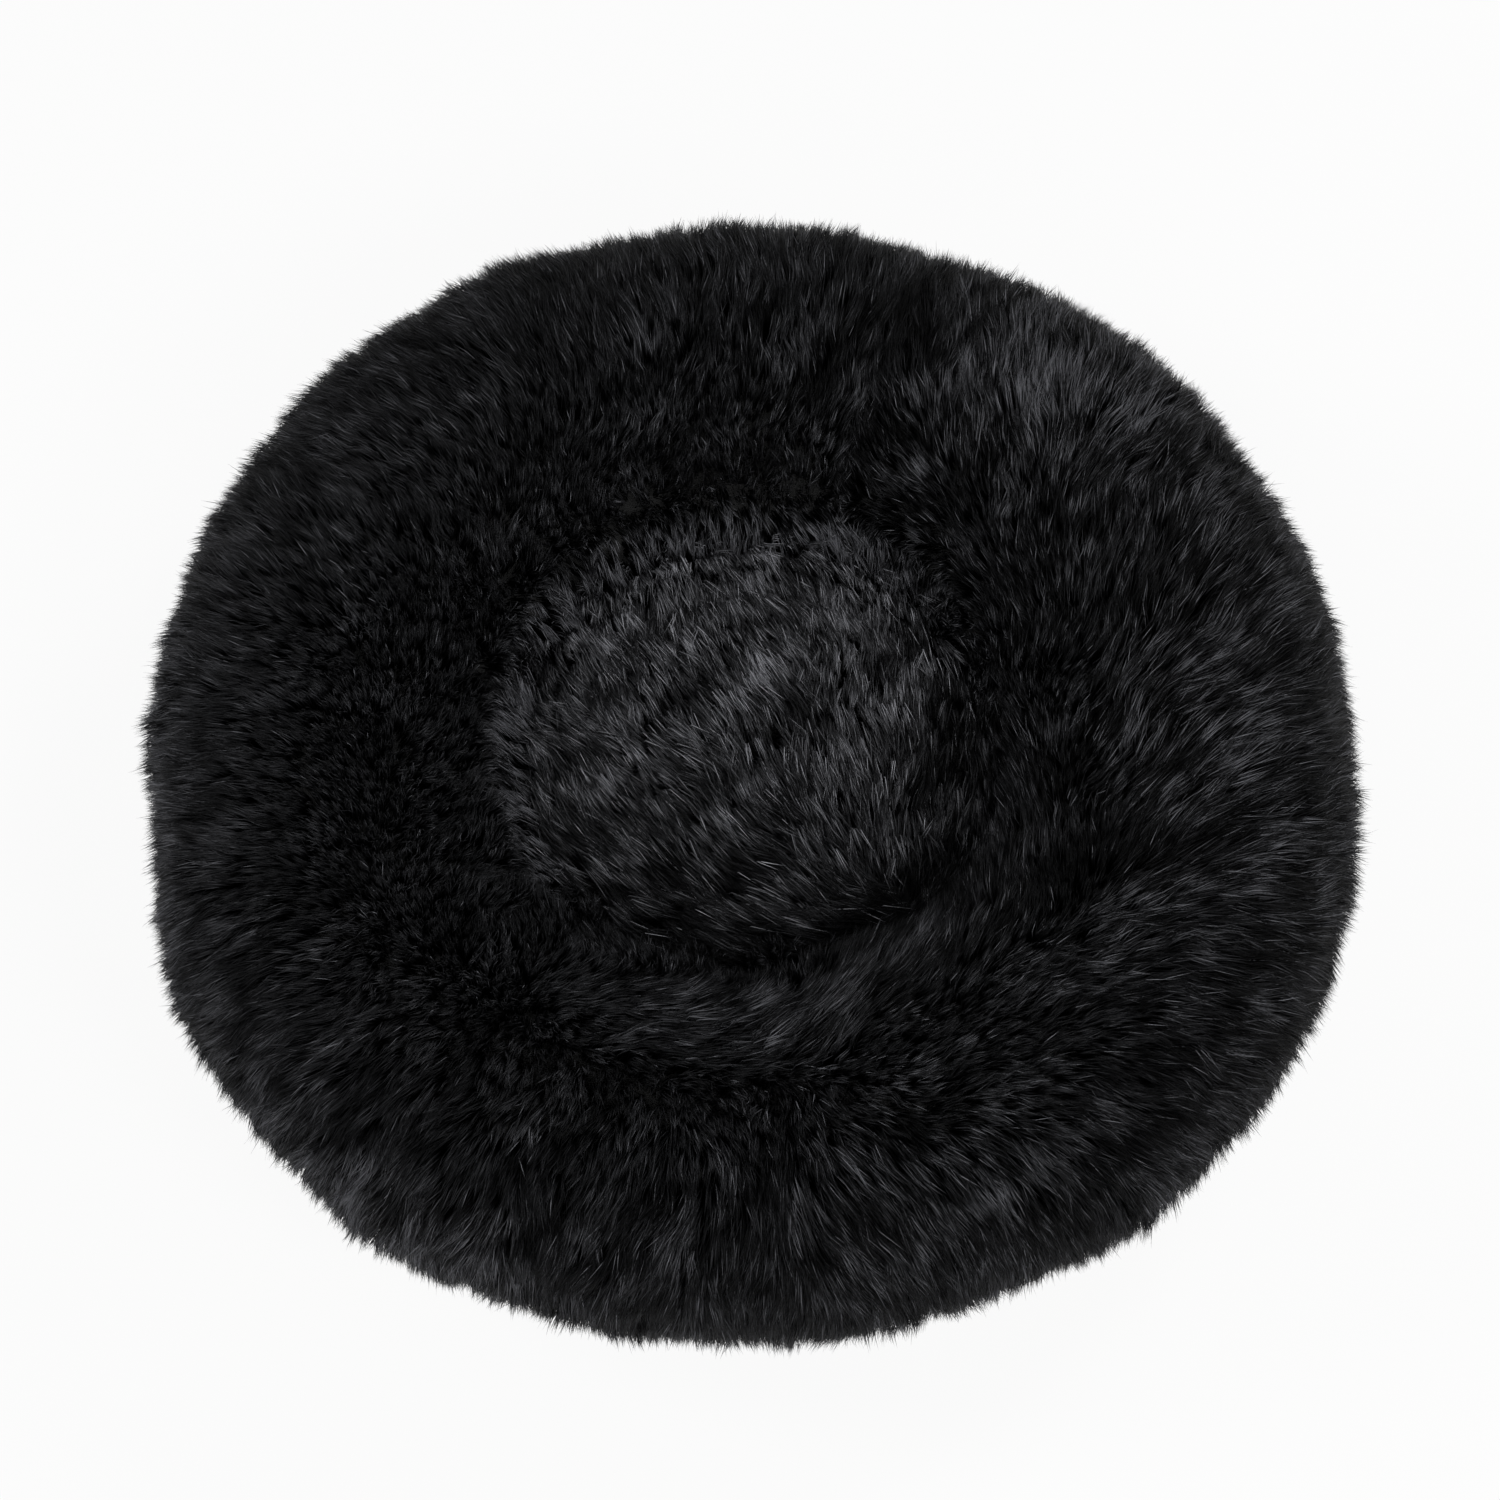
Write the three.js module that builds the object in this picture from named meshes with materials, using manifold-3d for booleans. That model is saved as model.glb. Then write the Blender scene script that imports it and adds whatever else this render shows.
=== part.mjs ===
// Round plush pet bed with a raised bolster, in millimetres, +Z up.
// The origin is the middle of the underside, where the base rests on the floor.
// The bolster is a long-pile fur tube, sewn from a left and a right panel around a round fur panel.
// Two inserts fill the cover: a stuffed ring and a stuffed round cushion. A zip in the base lets them out.

import * as THREE from 'three';
import { mergeVertices } from 'three/addons/utils/BufferGeometryUtils.js';
import Module from 'manifold-3d';

const wasm = await Module();
wasm.setup();

// Driving sizes of the whole bed
const overallDiameter = 596;
const bolsterWidth = 182;
const bolsterHeight = 176;
const baseSquash = 4;
const wellCrown = 30;
const wellSetForward = 12;

// Fabrics and fillings
const pileDepth = 18;
const furBacking = 2;
const bolsterPileFade = 46;
const wellPileFade = 26;
const baseThickness = 2;
const linerThickness = 1.6;
const fabricGap = 0.4;
const stuffingSlitLength = 60;
const stuffingSlitHeight = 6;

// Dips in the bolster: a valley at each panel seam and one soft dimple
const valleyDepth = 7;
const valleySpread = 24;
const dimpleDepth = 9;
const dimpleSpread = 34;

// Zip in the base
const zipOffset = 72;
const zipRimRoom = 40;
const chainSlot = 1.8;
const channelDepth = 9;
const channelMouthWidth = 50;
const channelRoofWidth = 31;
const tapeWidth = 13;
const tapeThickness = 0.8;
const tapeOverhang = 5;
const coilWidth = 2.6;
const coilHeight = 1.8;
const stopLength = 3;
const runningGap = 0.4;
const parkGap = 1;

// Zip slider and its pull tab
const sliderLength = 12;
const sliderNoseWidth = 11.2;
const plateThickness = 1.2;
const flangeWidth = 1;
const postLength = 3;
const archWidth = 2.4;
const archLength = 8;
const archLegLength = 1.6;
const archTunnelHeight = 1.9;
const archBarThickness = 1.2;
const tabLength = 24;
const tabWidth = 8;
const tabThickness = 1.2;
const tabArmWidth = 1.2;
const tabHoleRadius = 1.6;
const tabSwingRoom = 2;

// Overrun of cutters, and the bite by which joined solids sink into each other
const overrun = 5;
const bite = 0.2;

// Angles, in radians: panel seams, the edges of the fur on the tube's section, and the dimple's place
const degree = Math.PI / 180;
const backSeamAngle = 72 * degree;
const frontSeamAngle = 270 * degree;
const wellSeamClimb = 172 * degree;
const dimpleAngle = 332 * degree;
const dimpleClimb = 104 * degree;

// The plan isn't a true circle: a few soft lobes, each a share of the overall radius, weaker round the well
const lobes = [
  { count: 2, share: 0.0045, turn: 90 * degree },
  { count: 3, share: 0.0045, turn: -18 * degree },
  { count: 4, share: 0.0125, turn: -42.5 * degree },
];
const wellLobeShare = 0.4;

// Facets: steps round the bed and along a section
const roundSteps = 40;
const climbSteps = 16;
const uncoveredSteps = 6;
const domeSteps = 12;
const curveSteps = 6;

// Worked out from the driving sizes
const outerRadius = overallDiameter / 2;
const halfWidth = bolsterWidth / 2;
const halfHeight = (bolsterHeight + baseSquash) / 2;
const ringRadius = outerRadius - halfWidth;
const tubeMiddle = bolsterHeight - halfHeight;
const baseTop = baseThickness + fabricGap;
const baseSeamClimb = -Math.asin((tubeMiddle - baseTop) / halfHeight);
const wellRadius = ringRadius + halfWidth * Math.cos(wellSeamClimb);
const wellSeamHeight = tubeMiddle + halfHeight * Math.sin(wellSeamClimb);

// The zip runs across the base, as long as its channel's corners keep their room from the base's rim
const baseRadius = ringRadius + halfWidth * Math.cos(baseSeamClimb);
const channelCorner = zipOffset + channelMouthWidth / 2 + setForward(baseSeamClimb);
const chainLength = 2 * (Math.sqrt(baseRadius ** 2 - channelCorner ** 2) - zipRimRoom);

// Heights of the zip's layers, counted down from the roof of its channel
const tapeTop = channelDepth - runningGap;
const tapeBottom = tapeTop - tapeThickness;
const coilTop = tapeBottom - runningGap;
const coilBottom = coilTop - coilHeight;
const lowerPlateTop = coilBottom - runningGap;
const lowerPlateBottom = lowerPlateTop - plateThickness;
const upperPlateBottom = tapeTop + runningGap;
const pullAxisHeight = lowerPlateBottom - archTunnelHeight / 2;
const archBarTop = lowerPlateBottom - archTunnelHeight;
const coilEdge = chainSlot / 2 + coilWidth;
const sliderRest = chainLength / 2 - stopLength - parkGap - sliderLength / 2;
const roofSlotWidth = sliderNoseWidth + 2 * parkGap;

// The tab turns over from one side of the slider to the other, and the channel is long enough for both
const channelReach = sliderRest + tabLength + tabSwingRoom;

// The tab's grip starts outside the circle that the arch's far corner draws round the tab's axis
const archCorner = Math.hypot(archLength / 2, archTunnelHeight / 2 + archBarThickness);
const armReach = archCorner + runningGap;

function smooth(share) {
  const held = Math.min(Math.max(share, 0), 1);
  return held * held * (3 - 2 * held);
}

function turnBetween(a, b) {
  return Math.atan2(Math.sin(a - b), Math.cos(a - b));
}

function bell(distance, spread) {
  return Math.exp(-((distance / spread) ** 2));
}

// The well lies further forward than the outline: nothing at the tube's outermost line, in full at its innermost
function setForward(climb) {
  return (wellSetForward * (1 - Math.cos(climb))) / 2;
}

function outlineShift(angle, climb) {
  const share = lobes.reduce((sum, lobe) => sum + lobe.share * Math.cos(lobe.count * (angle - lobe.turn)), 0);
  return outerRadius * share * THREE.MathUtils.lerp(wellLobeShare, 1, (1 + Math.cos(climb)) / 2);
}

// How far the tube's surface is drawn in at a place on it: not at all underneath or by the well's seam
function dip(angle, climb) {
  const fromWell = (wellSeamClimb - climb) * halfHeight;
  const above = smooth(0.5 + Math.sin(climb)) * smooth(fromWell / wellPileFade);
  const valley = [backSeamAngle, frontSeamAngle]
    .map((seam) => valleyDepth * bell(turnBetween(angle, seam) * ringRadius, valleySpread))
    .reduce((sum, depth) => sum + depth, 0);
  const round = bell(turnBetween(angle, dimpleAngle) * ringRadius, dimpleSpread);
  const along = bell(turnBetween(climb, dimpleClimb) * halfHeight, dimpleSpread);
  return above * (valley + dimpleDepth * round * along);
}

// A point on the tube: the angle runs round the bed, the climb round the section from its outermost point
function tubePoint(angle, climb, inset, floor) {
  const drawnIn = inset + dip(angle, climb);
  const radius = ringRadius + outlineShift(angle, climb) + (halfWidth - drawnIn) * Math.cos(climb);
  const height = tubeMiddle + (halfHeight - drawnIn) * Math.sin(climb);
  const y = radius * Math.sin(angle) - setForward(climb);
  return new THREE.Vector3(radius * Math.cos(angle), y, Math.max(height, floor));
}

// The fur is thick over the tube and thins out towards its two seams
function furThickness(climb) {
  const fromBase = (climb - baseSeamClimb) * halfHeight;
  const fromWell = (wellSeamClimb - climb) * halfHeight;
  return furBacking + pileDepth * smooth(fromBase / bolsterPileFade) * smooth(fromWell / wellPileFade);
}

// The inserts fill the tube inside the fur, and press on the base and on each other elsewhere
function insertInset(climb) {
  const turned = turnBetween(climb, 0);
  const covered = turned > baseSeamClimb && turned < wellSeamClimb;
  return fabricGap + (covered ? furThickness(turned) : furBacking);
}

function warped(geometry, place) {
  const position = geometry.attributes.position;
  for (let i = 0; i < position.count; i += 1) {
    const moved = place(i);
    position.setXYZ(i, moved.x, moved.y, moved.z);
  }
  geometry.deleteAttribute('normal');
  geometry.deleteAttribute('uv');
  return mergeVertices(geometry);
}

// A flat piece of thick cloth bent to its place: along the section, through the cloth, round the bed
function bentPanel(fromAngle, toAngle) {
  const steps = Math.round((roundSteps * (toAngle - fromAngle)) / (2 * Math.PI));
  const seamTurn = fabricGap / (2 * wellRadius);
  const geometry = new THREE.BoxGeometry(1, 1, 1, climbSteps, 1, steps);
  const unit = geometry.attributes.position.clone();
  return warped(geometry, (i) => {
    const climb = THREE.MathUtils.lerp(baseSeamClimb, wellSeamClimb, unit.getX(i) + 1 / 2);
    const angle = THREE.MathUtils.lerp(fromAngle + seamTurn, toAngle - seamTurn, unit.getZ(i) + 1 / 2);
    const inset = unit.getY(i) > 0 ? 0 : furThickness(climb);
    return tubePoint(angle, climb, inset, baseTop);
  });
}

// The ring's section has the cover's own steps where the cover lies over it, so that their facets run alike
function ringClimb(share) {
  const step = share * (climbSteps + uncoveredSteps);
  if (step <= climbSteps) return THREE.MathUtils.lerp(baseSeamClimb, wellSeamClimb, step / climbSteps);
  return THREE.MathUtils.lerp(wellSeamClimb, baseSeamClimb + 2 * Math.PI, (step - climbSteps) / uncoveredSteps);
}

// A closed ring inside the fur tube
function stuffedRing(inset) {
  const geometry = new THREE.TorusGeometry(ringRadius, halfWidth, climbSteps + uncoveredSteps, roundSteps);
  const uv = geometry.attributes.uv.clone();
  return warped(geometry, (i) => {
    const angle = 2 * Math.PI * (uv.getX(i) % 1);
    const climb = ringClimb(uv.getY(i) % 1);
    return tubePoint(angle, climb, insertInset(climb) + inset, baseTop + inset);
  });
}

// A round solid from its profile, whose share runs from the top of the axis (0) to its foot (1).
// Each ring of it has a radius, a height and how far forward its middle lies.
function roundSolid(steps, profile) {
  const geometry = new THREE.SphereGeometry(1, roundSteps, steps);
  const uv = geometry.attributes.uv.clone();
  return warped(geometry, (i) => {
    const angle = 2 * Math.PI * (uv.getX(i) % 1) + Math.PI;
    const { radius, height, forward } = profile(1 - uv.getY(i), angle);
    return new THREE.Vector3(radius * Math.cos(angle), radius * Math.sin(angle) - forward, height);
  });
}

// The well panel: its crown, full almost to its seam, and its underside
const crownFullness = 3;

function wellPanelTop(share) {
  return wellSeamHeight + wellCrown * Math.sqrt(1 - share ** crownFullness);
}

function wellPanelUnderside(share) {
  const fromSeam = (1 - share) * wellRadius;
  return wellPanelTop(share) - furBacking - pileDepth * smooth(fromSeam / wellPileFade);
}

function wellPanelRadius(angle) {
  return wellRadius + outlineShift(angle, wellSeamClimb) - fabricGap;
}

function wellPanelProfile(share, angle) {
  const onTop = share <= 1 / 2;
  const across = Math.min(Math.sin(Math.PI * share), 1);
  const height = onTop ? wellPanelTop(across) : wellPanelUnderside(across);
  return { radius: across * wellPanelRadius(angle), height, forward: setForward(wellSeamClimb) };
}

// The round cushion: a crown under the fur, sides drawn in where the ring presses, a flat foot
const cushionTopShare = 5 / domeSteps;
const cushionSideShare = 9 / domeSteps;
const cushionShoulderShare = 0.9;
const cushionSideFromClimb = 190 * degree;

// Where on the ring's section the cushion's side reaches the base
function cushionFootClimb(inset) {
  return Math.PI + Math.asin((tubeMiddle - baseTop - inset) / halfHeight);
}

function cushionProfile(share, angle, inset) {
  if (share <= cushionTopShare) {
    const across = (share / cushionTopShare) * cushionShoulderShare;
    const height = wellPanelUnderside(across) - fabricGap - inset;
    return { radius: across * (wellPanelRadius(angle) - inset), height, forward: setForward(wellSeamClimb) };
  }
  if (share <= cushionSideShare) {
    const down = (share - cushionTopShare) / (cushionSideShare - cushionTopShare);
    const climb = THREE.MathUtils.lerp(cushionSideFromClimb, cushionFootClimb(inset), down);
    const radius = ringRadius + outlineShift(angle, climb) + halfWidth * Math.cos(climb) - inset;
    const height = tubeMiddle + halfHeight * Math.sin(climb);
    return { radius, height, forward: setForward(climb) };
  }
  const inwards = (1 - share) / (1 - cushionSideShare);
  const footClimb = cushionFootClimb(inset);
  const foot = ringRadius + outlineShift(angle, footClimb) + halfWidth * Math.cos(footClimb) - inset;
  return { radius: inwards * foot, height: baseTop + inset, forward: setForward(footClimb) };
}

function cushionSolid(inset) {
  return roundSolid(domeSteps, (share, angle) => cushionProfile(share, angle, inset));
}

function box(sizeX, sizeY, sizeZ, x, y, z) {
  const geometry = new THREE.BoxGeometry(sizeX, sizeY, sizeZ);
  geometry.translate(x, y, z);
  return geometry;
}

// A solid between two planes across X, from a section in Y and Z
function alongX(section, length) {
  const geometry = new THREE.ExtrudeGeometry(new THREE.Shape(section), { depth: length, bevelEnabled: false });
  geometry.rotateX(Math.PI / 2);
  geometry.rotateZ(Math.PI / 2);
  geometry.translate(-length / 2, 0, 0);
  return geometry;
}

function solid(geometry) {
  const bare = geometry.clone();
  bare.deleteAttribute('normal');
  bare.deleteAttribute('uv');
  const welded = mergeVertices(bare);
  const vertProperties = new Float32Array(welded.attributes.position.array);
  const triVerts = new Uint32Array(welded.index.array);
  return new wasm.Manifold(new wasm.Mesh({ numProp: 3, vertProperties, triVerts }));
}

function geometryOf(manifold) {
  const mesh = manifold.getMesh();
  const geometry = new THREE.BufferGeometry();
  geometry.setAttribute('position', new THREE.BufferAttribute(new Float32Array(mesh.vertProperties), 3));
  geometry.setIndex(new THREE.BufferAttribute(new Uint32Array(mesh.triVerts), 1));
  return geometry;
}

function joined(...geometries) {
  return geometries.map(solid).reduce((whole, part) => whole.add(part));
}

// The zip's channel: its room, and the same grown by a skin
function channelSolid(skin, foot) {
  const mouth = channelMouthWidth / 2 + skin;
  const roof = channelRoofWidth / 2 + skin;
  const top = channelDepth + skin;
  const section = [
    new THREE.Vector2(-mouth, foot),
    new THREE.Vector2(mouth, foot),
    new THREE.Vector2(mouth, 0),
    new THREE.Vector2(roof, top),
    new THREE.Vector2(-roof, top),
    new THREE.Vector2(-mouth, 0),
  ];
  const geometry = alongX(section, 2 * (channelReach + skin));
  geometry.translate(0, zipOffset, 0);
  return solid(geometry);
}

function basePanel() {
  const rim = Array.from({ length: roundSteps }, (unused, i) => {
    const angle = (2 * Math.PI * i) / roundSteps;
    const point = tubePoint(angle, baseSeamClimb, 0, 0);
    return new THREE.Vector2(point.x, point.y);
  });
  const disc = new THREE.ExtrudeGeometry(new THREE.Shape(rim), { depth: baseThickness, bevelEnabled: false });
  const slot = box(
    chainLength + 2 * tapeOverhang,
    roofSlotWidth,
    channelDepth + overrun,
    0,
    zipOffset,
    channelDepth,
  );
  return geometryOf(
    solid(disc)
      .add(channelSolid(baseThickness, 0))
      .subtract(channelSolid(0, -overrun))
      .subtract(solid(slot)),
  );
}

// An insert's solid, drawn up over the zip's channel
function overChannel(geometry, inset) {
  return solid(geometry).subtract(channelSolid(baseTop + inset, -overrun));
}

// A liner is a thin bag: its outside less its inside, with a slit where the fibre was put in
function liner(shape, slitPlace) {
  const slitLevel = tubeMiddle - halfHeight / 4;
  const slit = box(stuffingSlitLength / 2, stuffingSlitLength, stuffingSlitHeight, slitPlace, 0, slitLevel);
  const inside = overChannel(shape(linerThickness), linerThickness);
  return geometryOf(overChannel(shape(0), 0).subtract(inside).subtract(solid(slit)));
}

function filling(shape) {
  const inset = linerThickness + fabricGap;
  return geometryOf(overChannel(shape(inset), inset));
}

function tape(side) {
  const middle = zipOffset + side * (chainSlot / 2 + tapeWidth / 2);
  const length = chainLength + 2 * tapeOverhang;
  return box(length, tapeWidth, tapeThickness, 0, middle, (tapeTop + tapeBottom) / 2);
}

function coil(side) {
  const length = chainLength - 2 * (stopLength + runningGap);
  const middle = zipOffset + side * (chainSlot / 2 + coilWidth / 2);
  const section = [
    new THREE.Vector2(-coilWidth / 2, coilTop),
    new THREE.Vector2(-coilWidth / 2, coilBottom + coilHeight / 3),
    new THREE.Vector2(-coilWidth / 4, coilBottom),
    new THREE.Vector2(coilWidth / 4, coilBottom),
    new THREE.Vector2(coilWidth / 2, coilBottom + coilHeight / 3),
    new THREE.Vector2(coilWidth / 2, coilTop),
  ];
  const geometry = alongX(section, length);
  geometry.translate(0, middle, 0);
  return geometry;
}

function topStop(side) {
  const middle = zipOffset + side * (chainSlot / 2 + coilWidth / 2);
  const place = (chainLength - stopLength) / 2;
  return box(stopLength, coilWidth, coilHeight, place, middle, (coilTop + coilBottom) / 2);
}

function bottomStop() {
  const place = -(chainLength - stopLength) / 2;
  return box(stopLength, 2 * coilEdge, coilHeight, place, zipOffset, (coilTop + coilBottom) / 2);
}

// The slider: two plates, the post between them, a flange at each side and the arch that holds the tab
function sliderPlate(bottom) {
  const nose = sliderNoseWidth / 2;
  const tail = coilEdge + runningGap + flangeWidth;
  const outline = [
    new THREE.Vector2(-sliderLength / 2, -tail),
    new THREE.Vector2(0, -tail),
    new THREE.Vector2(sliderLength / 4, -nose),
    new THREE.Vector2(sliderLength / 2, -nose / 2),
    new THREE.Vector2(sliderLength / 2, nose / 2),
    new THREE.Vector2(sliderLength / 4, nose),
    new THREE.Vector2(0, tail),
    new THREE.Vector2(-sliderLength / 2, tail),
  ];
  const settings = { depth: plateThickness, bevelEnabled: false };
  const geometry = new THREE.ExtrudeGeometry(new THREE.Shape(outline), settings);
  geometry.translate(sliderRest, zipOffset, bottom);
  return geometry;
}

function slider() {
  const postHeight = upperPlateBottom - lowerPlateTop + 2 * bite;
  const postMiddle = (upperPlateBottom + lowerPlateTop) / 2;
  const postPlace = sliderRest + sliderLength / 2 - postLength;
  const post = box(postLength, chainSlot - 2 * runningGap, postHeight, postPlace, zipOffset, postMiddle);
  const flangeHeight = coilTop - lowerPlateTop + bite;
  const flangePlace = coilEdge + runningGap + flangeWidth / 2;
  const flanges = [-1, 1].map((side) =>
    box(
      sliderLength / 2,
      flangeWidth,
      flangeHeight,
      sliderRest - sliderLength / 4,
      zipOffset + side * flangePlace,
      coilTop - flangeHeight / 2,
    ),
  );
  const bar = box(
    archLength,
    archWidth,
    archBarThickness,
    sliderRest,
    zipOffset,
    archBarTop - archBarThickness / 2,
  );
  const legHeight = archTunnelHeight + 2 * bite;
  const legs = [-1, 1].map((side) =>
    box(
      archLegLength,
      archWidth,
      legHeight,
      sliderRest + (side * (archLength - archLegLength)) / 2,
      zipOffset,
      pullAxisHeight,
    ),
  );
  const plates = [sliderPlate(lowerPlateBottom), sliderPlate(upperPlateBottom)];
  return geometryOf(joined(...plates, post, ...flanges, bar, ...legs));
}

// The tab: an axle bar in the arch's tunnel, two arms past the arch, and a round-ended grip with a hole
function pullTab() {
  const armPlace = archWidth / 2 + runningGap + tabArmWidth / 2;
  const axle = box(
    tabThickness,
    2 * armPlace,
    tabThickness,
    sliderRest,
    zipOffset,
    pullAxisHeight,
  );
  const arms = [-1, 1].map((side) =>
    box(
      armReach + tabThickness / 2 + bite,
      tabArmWidth,
      tabThickness,
      sliderRest - (armReach + bite - tabThickness / 2) / 2,
      zipOffset + side * armPlace,
      pullAxisHeight,
    ),
  );
  const grip = new THREE.Shape();
  grip.moveTo(-armReach, tabWidth / 2);
  grip.lineTo(-(tabLength - tabWidth / 2), tabWidth / 2);
  grip.absarc(-(tabLength - tabWidth / 2), 0, tabWidth / 2, Math.PI / 2, (3 * Math.PI) / 2, false);
  grip.lineTo(-armReach, -tabWidth / 2);
  grip.closePath();
  const hole = new THREE.Path();
  hole.absarc(-(tabLength - tabWidth / 2), 0, tabHoleRadius, 0, 2 * Math.PI, true);
  grip.holes.push(hole);
  const settings = { depth: tabThickness, bevelEnabled: false, curveSegments: curveSteps };
  const plate = new THREE.ExtrudeGeometry(grip, settings);
  plate.translate(sliderRest, zipOffset, pullAxisHeight - tabThickness / 2);
  return geometryOf(joined(axle, ...arms, plate));
}

const materials = {
  fur: { color: 0x1b1c1d, roughness: 0.55, metalness: 0 },
  oxford: { color: 0x1e1e20, roughness: 0.8, metalness: 0 },
  nonwoven: { color: 0xe4e3df, roughness: 0.9, metalness: 0 },
  fibre: { color: 0xf2f1ee, roughness: 1, metalness: 0 },
  tape: { color: 0x17171a, roughness: 0.75, metalness: 0 },
  nylon: { color: 0x1c1c1f, roughness: 0.4, metalness: 0 },
  metal: { color: 0x3a3a3e, roughness: 0.35, metalness: 1 },
};

const bed = new THREE.Group();

function addPiece(name, finish, geometry) {
  const mesh = new THREE.Mesh(geometry, new THREE.MeshStandardMaterial(materials[finish]));
  mesh.name = name;
  bed.add(mesh);
}

addPiece('bolster_cover_left', 'fur', bentPanel(backSeamAngle, frontSeamAngle));
addPiece('bolster_cover_right', 'fur', bentPanel(frontSeamAngle - 2 * Math.PI, backSeamAngle));
addPiece('well_fur_panel', 'fur', roundSolid(domeSteps, wellPanelProfile));
addPiece('base_panel', 'oxford', basePanel());

addPiece('bolster_liner', 'nonwoven', liner(stuffedRing, ringRadius - halfWidth));
addPiece('bolster_filling', 'fibre', filling(stuffedRing));
addPiece('cushion_liner', 'nonwoven', liner(cushionSolid, halfWidth - ringRadius));
addPiece('cushion_filling', 'fibre', filling(cushionSolid));

addPiece('zip_tape_front', 'tape', tape(-1));
addPiece('zip_tape_rear', 'tape', tape(1));
addPiece('zip_coil_front', 'nylon', coil(-1));
addPiece('zip_coil_rear', 'nylon', coil(1));
addPiece('zip_top_stop_front', 'metal', topStop(-1));
addPiece('zip_top_stop_rear', 'metal', topStop(1));
addPiece('zip_bottom_stop', 'metal', bottomStop());
addPiece('zip_slider', 'metal', slider());
addPiece('zip_pull_tab', 'metal', pullTab());

export default bed;
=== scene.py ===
"""Round long-pile plush pet bed: fur, cloth, zip, light and camera. Metres, +Z up, -Y is the front."""

import itertools
from math import cos, pi, radians, sin, sqrt, tau

import bmesh
import bpy
import numpy as np
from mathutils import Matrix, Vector
from mathutils.bvhtree import BVHTree
from mathutils.geometry import delaunay_2d_cdt
from numpy.linalg import norm


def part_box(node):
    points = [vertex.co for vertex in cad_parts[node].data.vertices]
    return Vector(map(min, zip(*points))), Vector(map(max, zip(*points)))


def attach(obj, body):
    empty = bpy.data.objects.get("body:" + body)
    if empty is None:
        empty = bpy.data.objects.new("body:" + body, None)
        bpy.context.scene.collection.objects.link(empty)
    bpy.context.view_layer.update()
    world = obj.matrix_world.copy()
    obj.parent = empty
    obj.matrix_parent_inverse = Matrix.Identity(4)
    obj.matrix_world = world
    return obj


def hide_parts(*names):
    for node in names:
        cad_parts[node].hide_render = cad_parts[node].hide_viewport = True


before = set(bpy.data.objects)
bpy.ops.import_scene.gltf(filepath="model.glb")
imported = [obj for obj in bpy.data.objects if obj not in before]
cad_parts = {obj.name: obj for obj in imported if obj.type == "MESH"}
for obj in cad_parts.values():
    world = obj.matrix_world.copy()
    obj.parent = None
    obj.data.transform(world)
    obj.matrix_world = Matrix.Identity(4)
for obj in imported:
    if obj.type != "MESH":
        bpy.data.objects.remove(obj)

SCENE = bpy.context.scene
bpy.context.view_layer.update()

# Sizes of the bed, as in the frame. A climb is an angle round the tube's section: 0 at its outermost
# point, a quarter turn at its crest
RING_RADIUS = 0.207
TUBE_MIDDLE = 0.086
HALF_HEIGHT = 0.09
WELL_FORWARD = 0.012
WELL_RADIUS = 0.1165
BASE_CLIMB = radians(-68.26)
WELL_CLIMB = radians(172)
BACK_SEAM = radians(72)
FRONT_SEAM = radians(270)
SEAM_MARGIN = 0.02

# Fabrics
PILE_DEPTH = 0.018
BACKING = 0.002
CLOTH_THICKNESS = 0.0012
BASE_FADE = 0.046
WELL_FADE = 0.026

# Samples of the surfaces that the fur grows on
AROUND = 240
ALONG = 72
WELL_RINGS = 30
RAY_REACH = 0.15
ROUNDING = 10
WELL_ROUNDING = 4
WELL_EDGE_SHARE = 0.99

# Fur. A strand has rings of points at shares of its length, and ends in a point
CLUMP_SPACING = 0.0028
STRANDS_PER_CLUMP = 6
STRAND_RADIUS = 0.00026
STRAND_SIDES = 3
STATION_SHARES = (0, 0.55, 1)
TAPER_SHARES = (1, 0.85, 0)
UV_MAP = "OFBake"
SEED = 11

# Zip in the base
ZIP_OFFSET = 0.072
CHANNEL_DEPTH = 0.009
CHANNEL_MOUTH = 0.025
CHANNEL_ROOF = 0.0155
CHANNEL_REACH = 0.1946
CHANNEL_END = 0.003
SLOT_HALF = 0.0066
BASE_SKIM = 0.0006
BASE_CLOTH_THICKNESS = 0.0009
BASE_RIM_HEIGHT = 0.0024

QUICK_SHARE = 1.0
RNG = np.random.default_rng(SEED)


def smooth(share):
    held = np.clip(share, 0, 1)
    return held * held * (3 - 2 * held)


def unit(vectors):
    return vectors / np.maximum(norm(vectors, axis=-1, keepdims=True), 1e-9)


def bell(distance, spread):
    return np.exp(-((distance / spread) ** 2))


def grid_of(*rows):
    return np.meshgrid(*rows, indexing="ij")


def turn_between(a, b):
    return np.arctan2(np.sin(a - b), np.cos(a - b))


def even_turns(count, start=0.0):
    """Angles that divide a full turn evenly, the first of them at a share of a step."""
    return (np.arange(count) + start) * tau / count


class Waves:
    """Smooth noise: sets of plane waves, each of about one wavelength and one height."""

    COUNT = 20
    SPREAD = (0.7, 1.4)

    def __init__(self, *sizes):
        self.sets = [(*self.ways_and_phases(wavelength), height) for wavelength, height in sizes]

    def ways_and_phases(self, wavelength):
        way = unit(RNG.normal(size=(self.COUNT, 3))) * tau / wavelength
        way *= RNG.uniform(*self.SPREAD, (self.COUNT, 1))
        return way, RNG.uniform(0, tau, self.COUNT)

    def at(self, points, level=0.0):
        """The level, with the waves on it."""
        for way, phase, height in self.sets:
            waves = np.cos(points @ way.T + phase).sum(-1) * (1 / sqrt(self.COUNT))
            level = level + height * waves
        return level


def add_object(name, data, place=(0, 0, 0)):
    made = bpy.data.objects.new(name, data)
    made.location = place
    SCENE.collection.objects.link(made)
    return made


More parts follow.
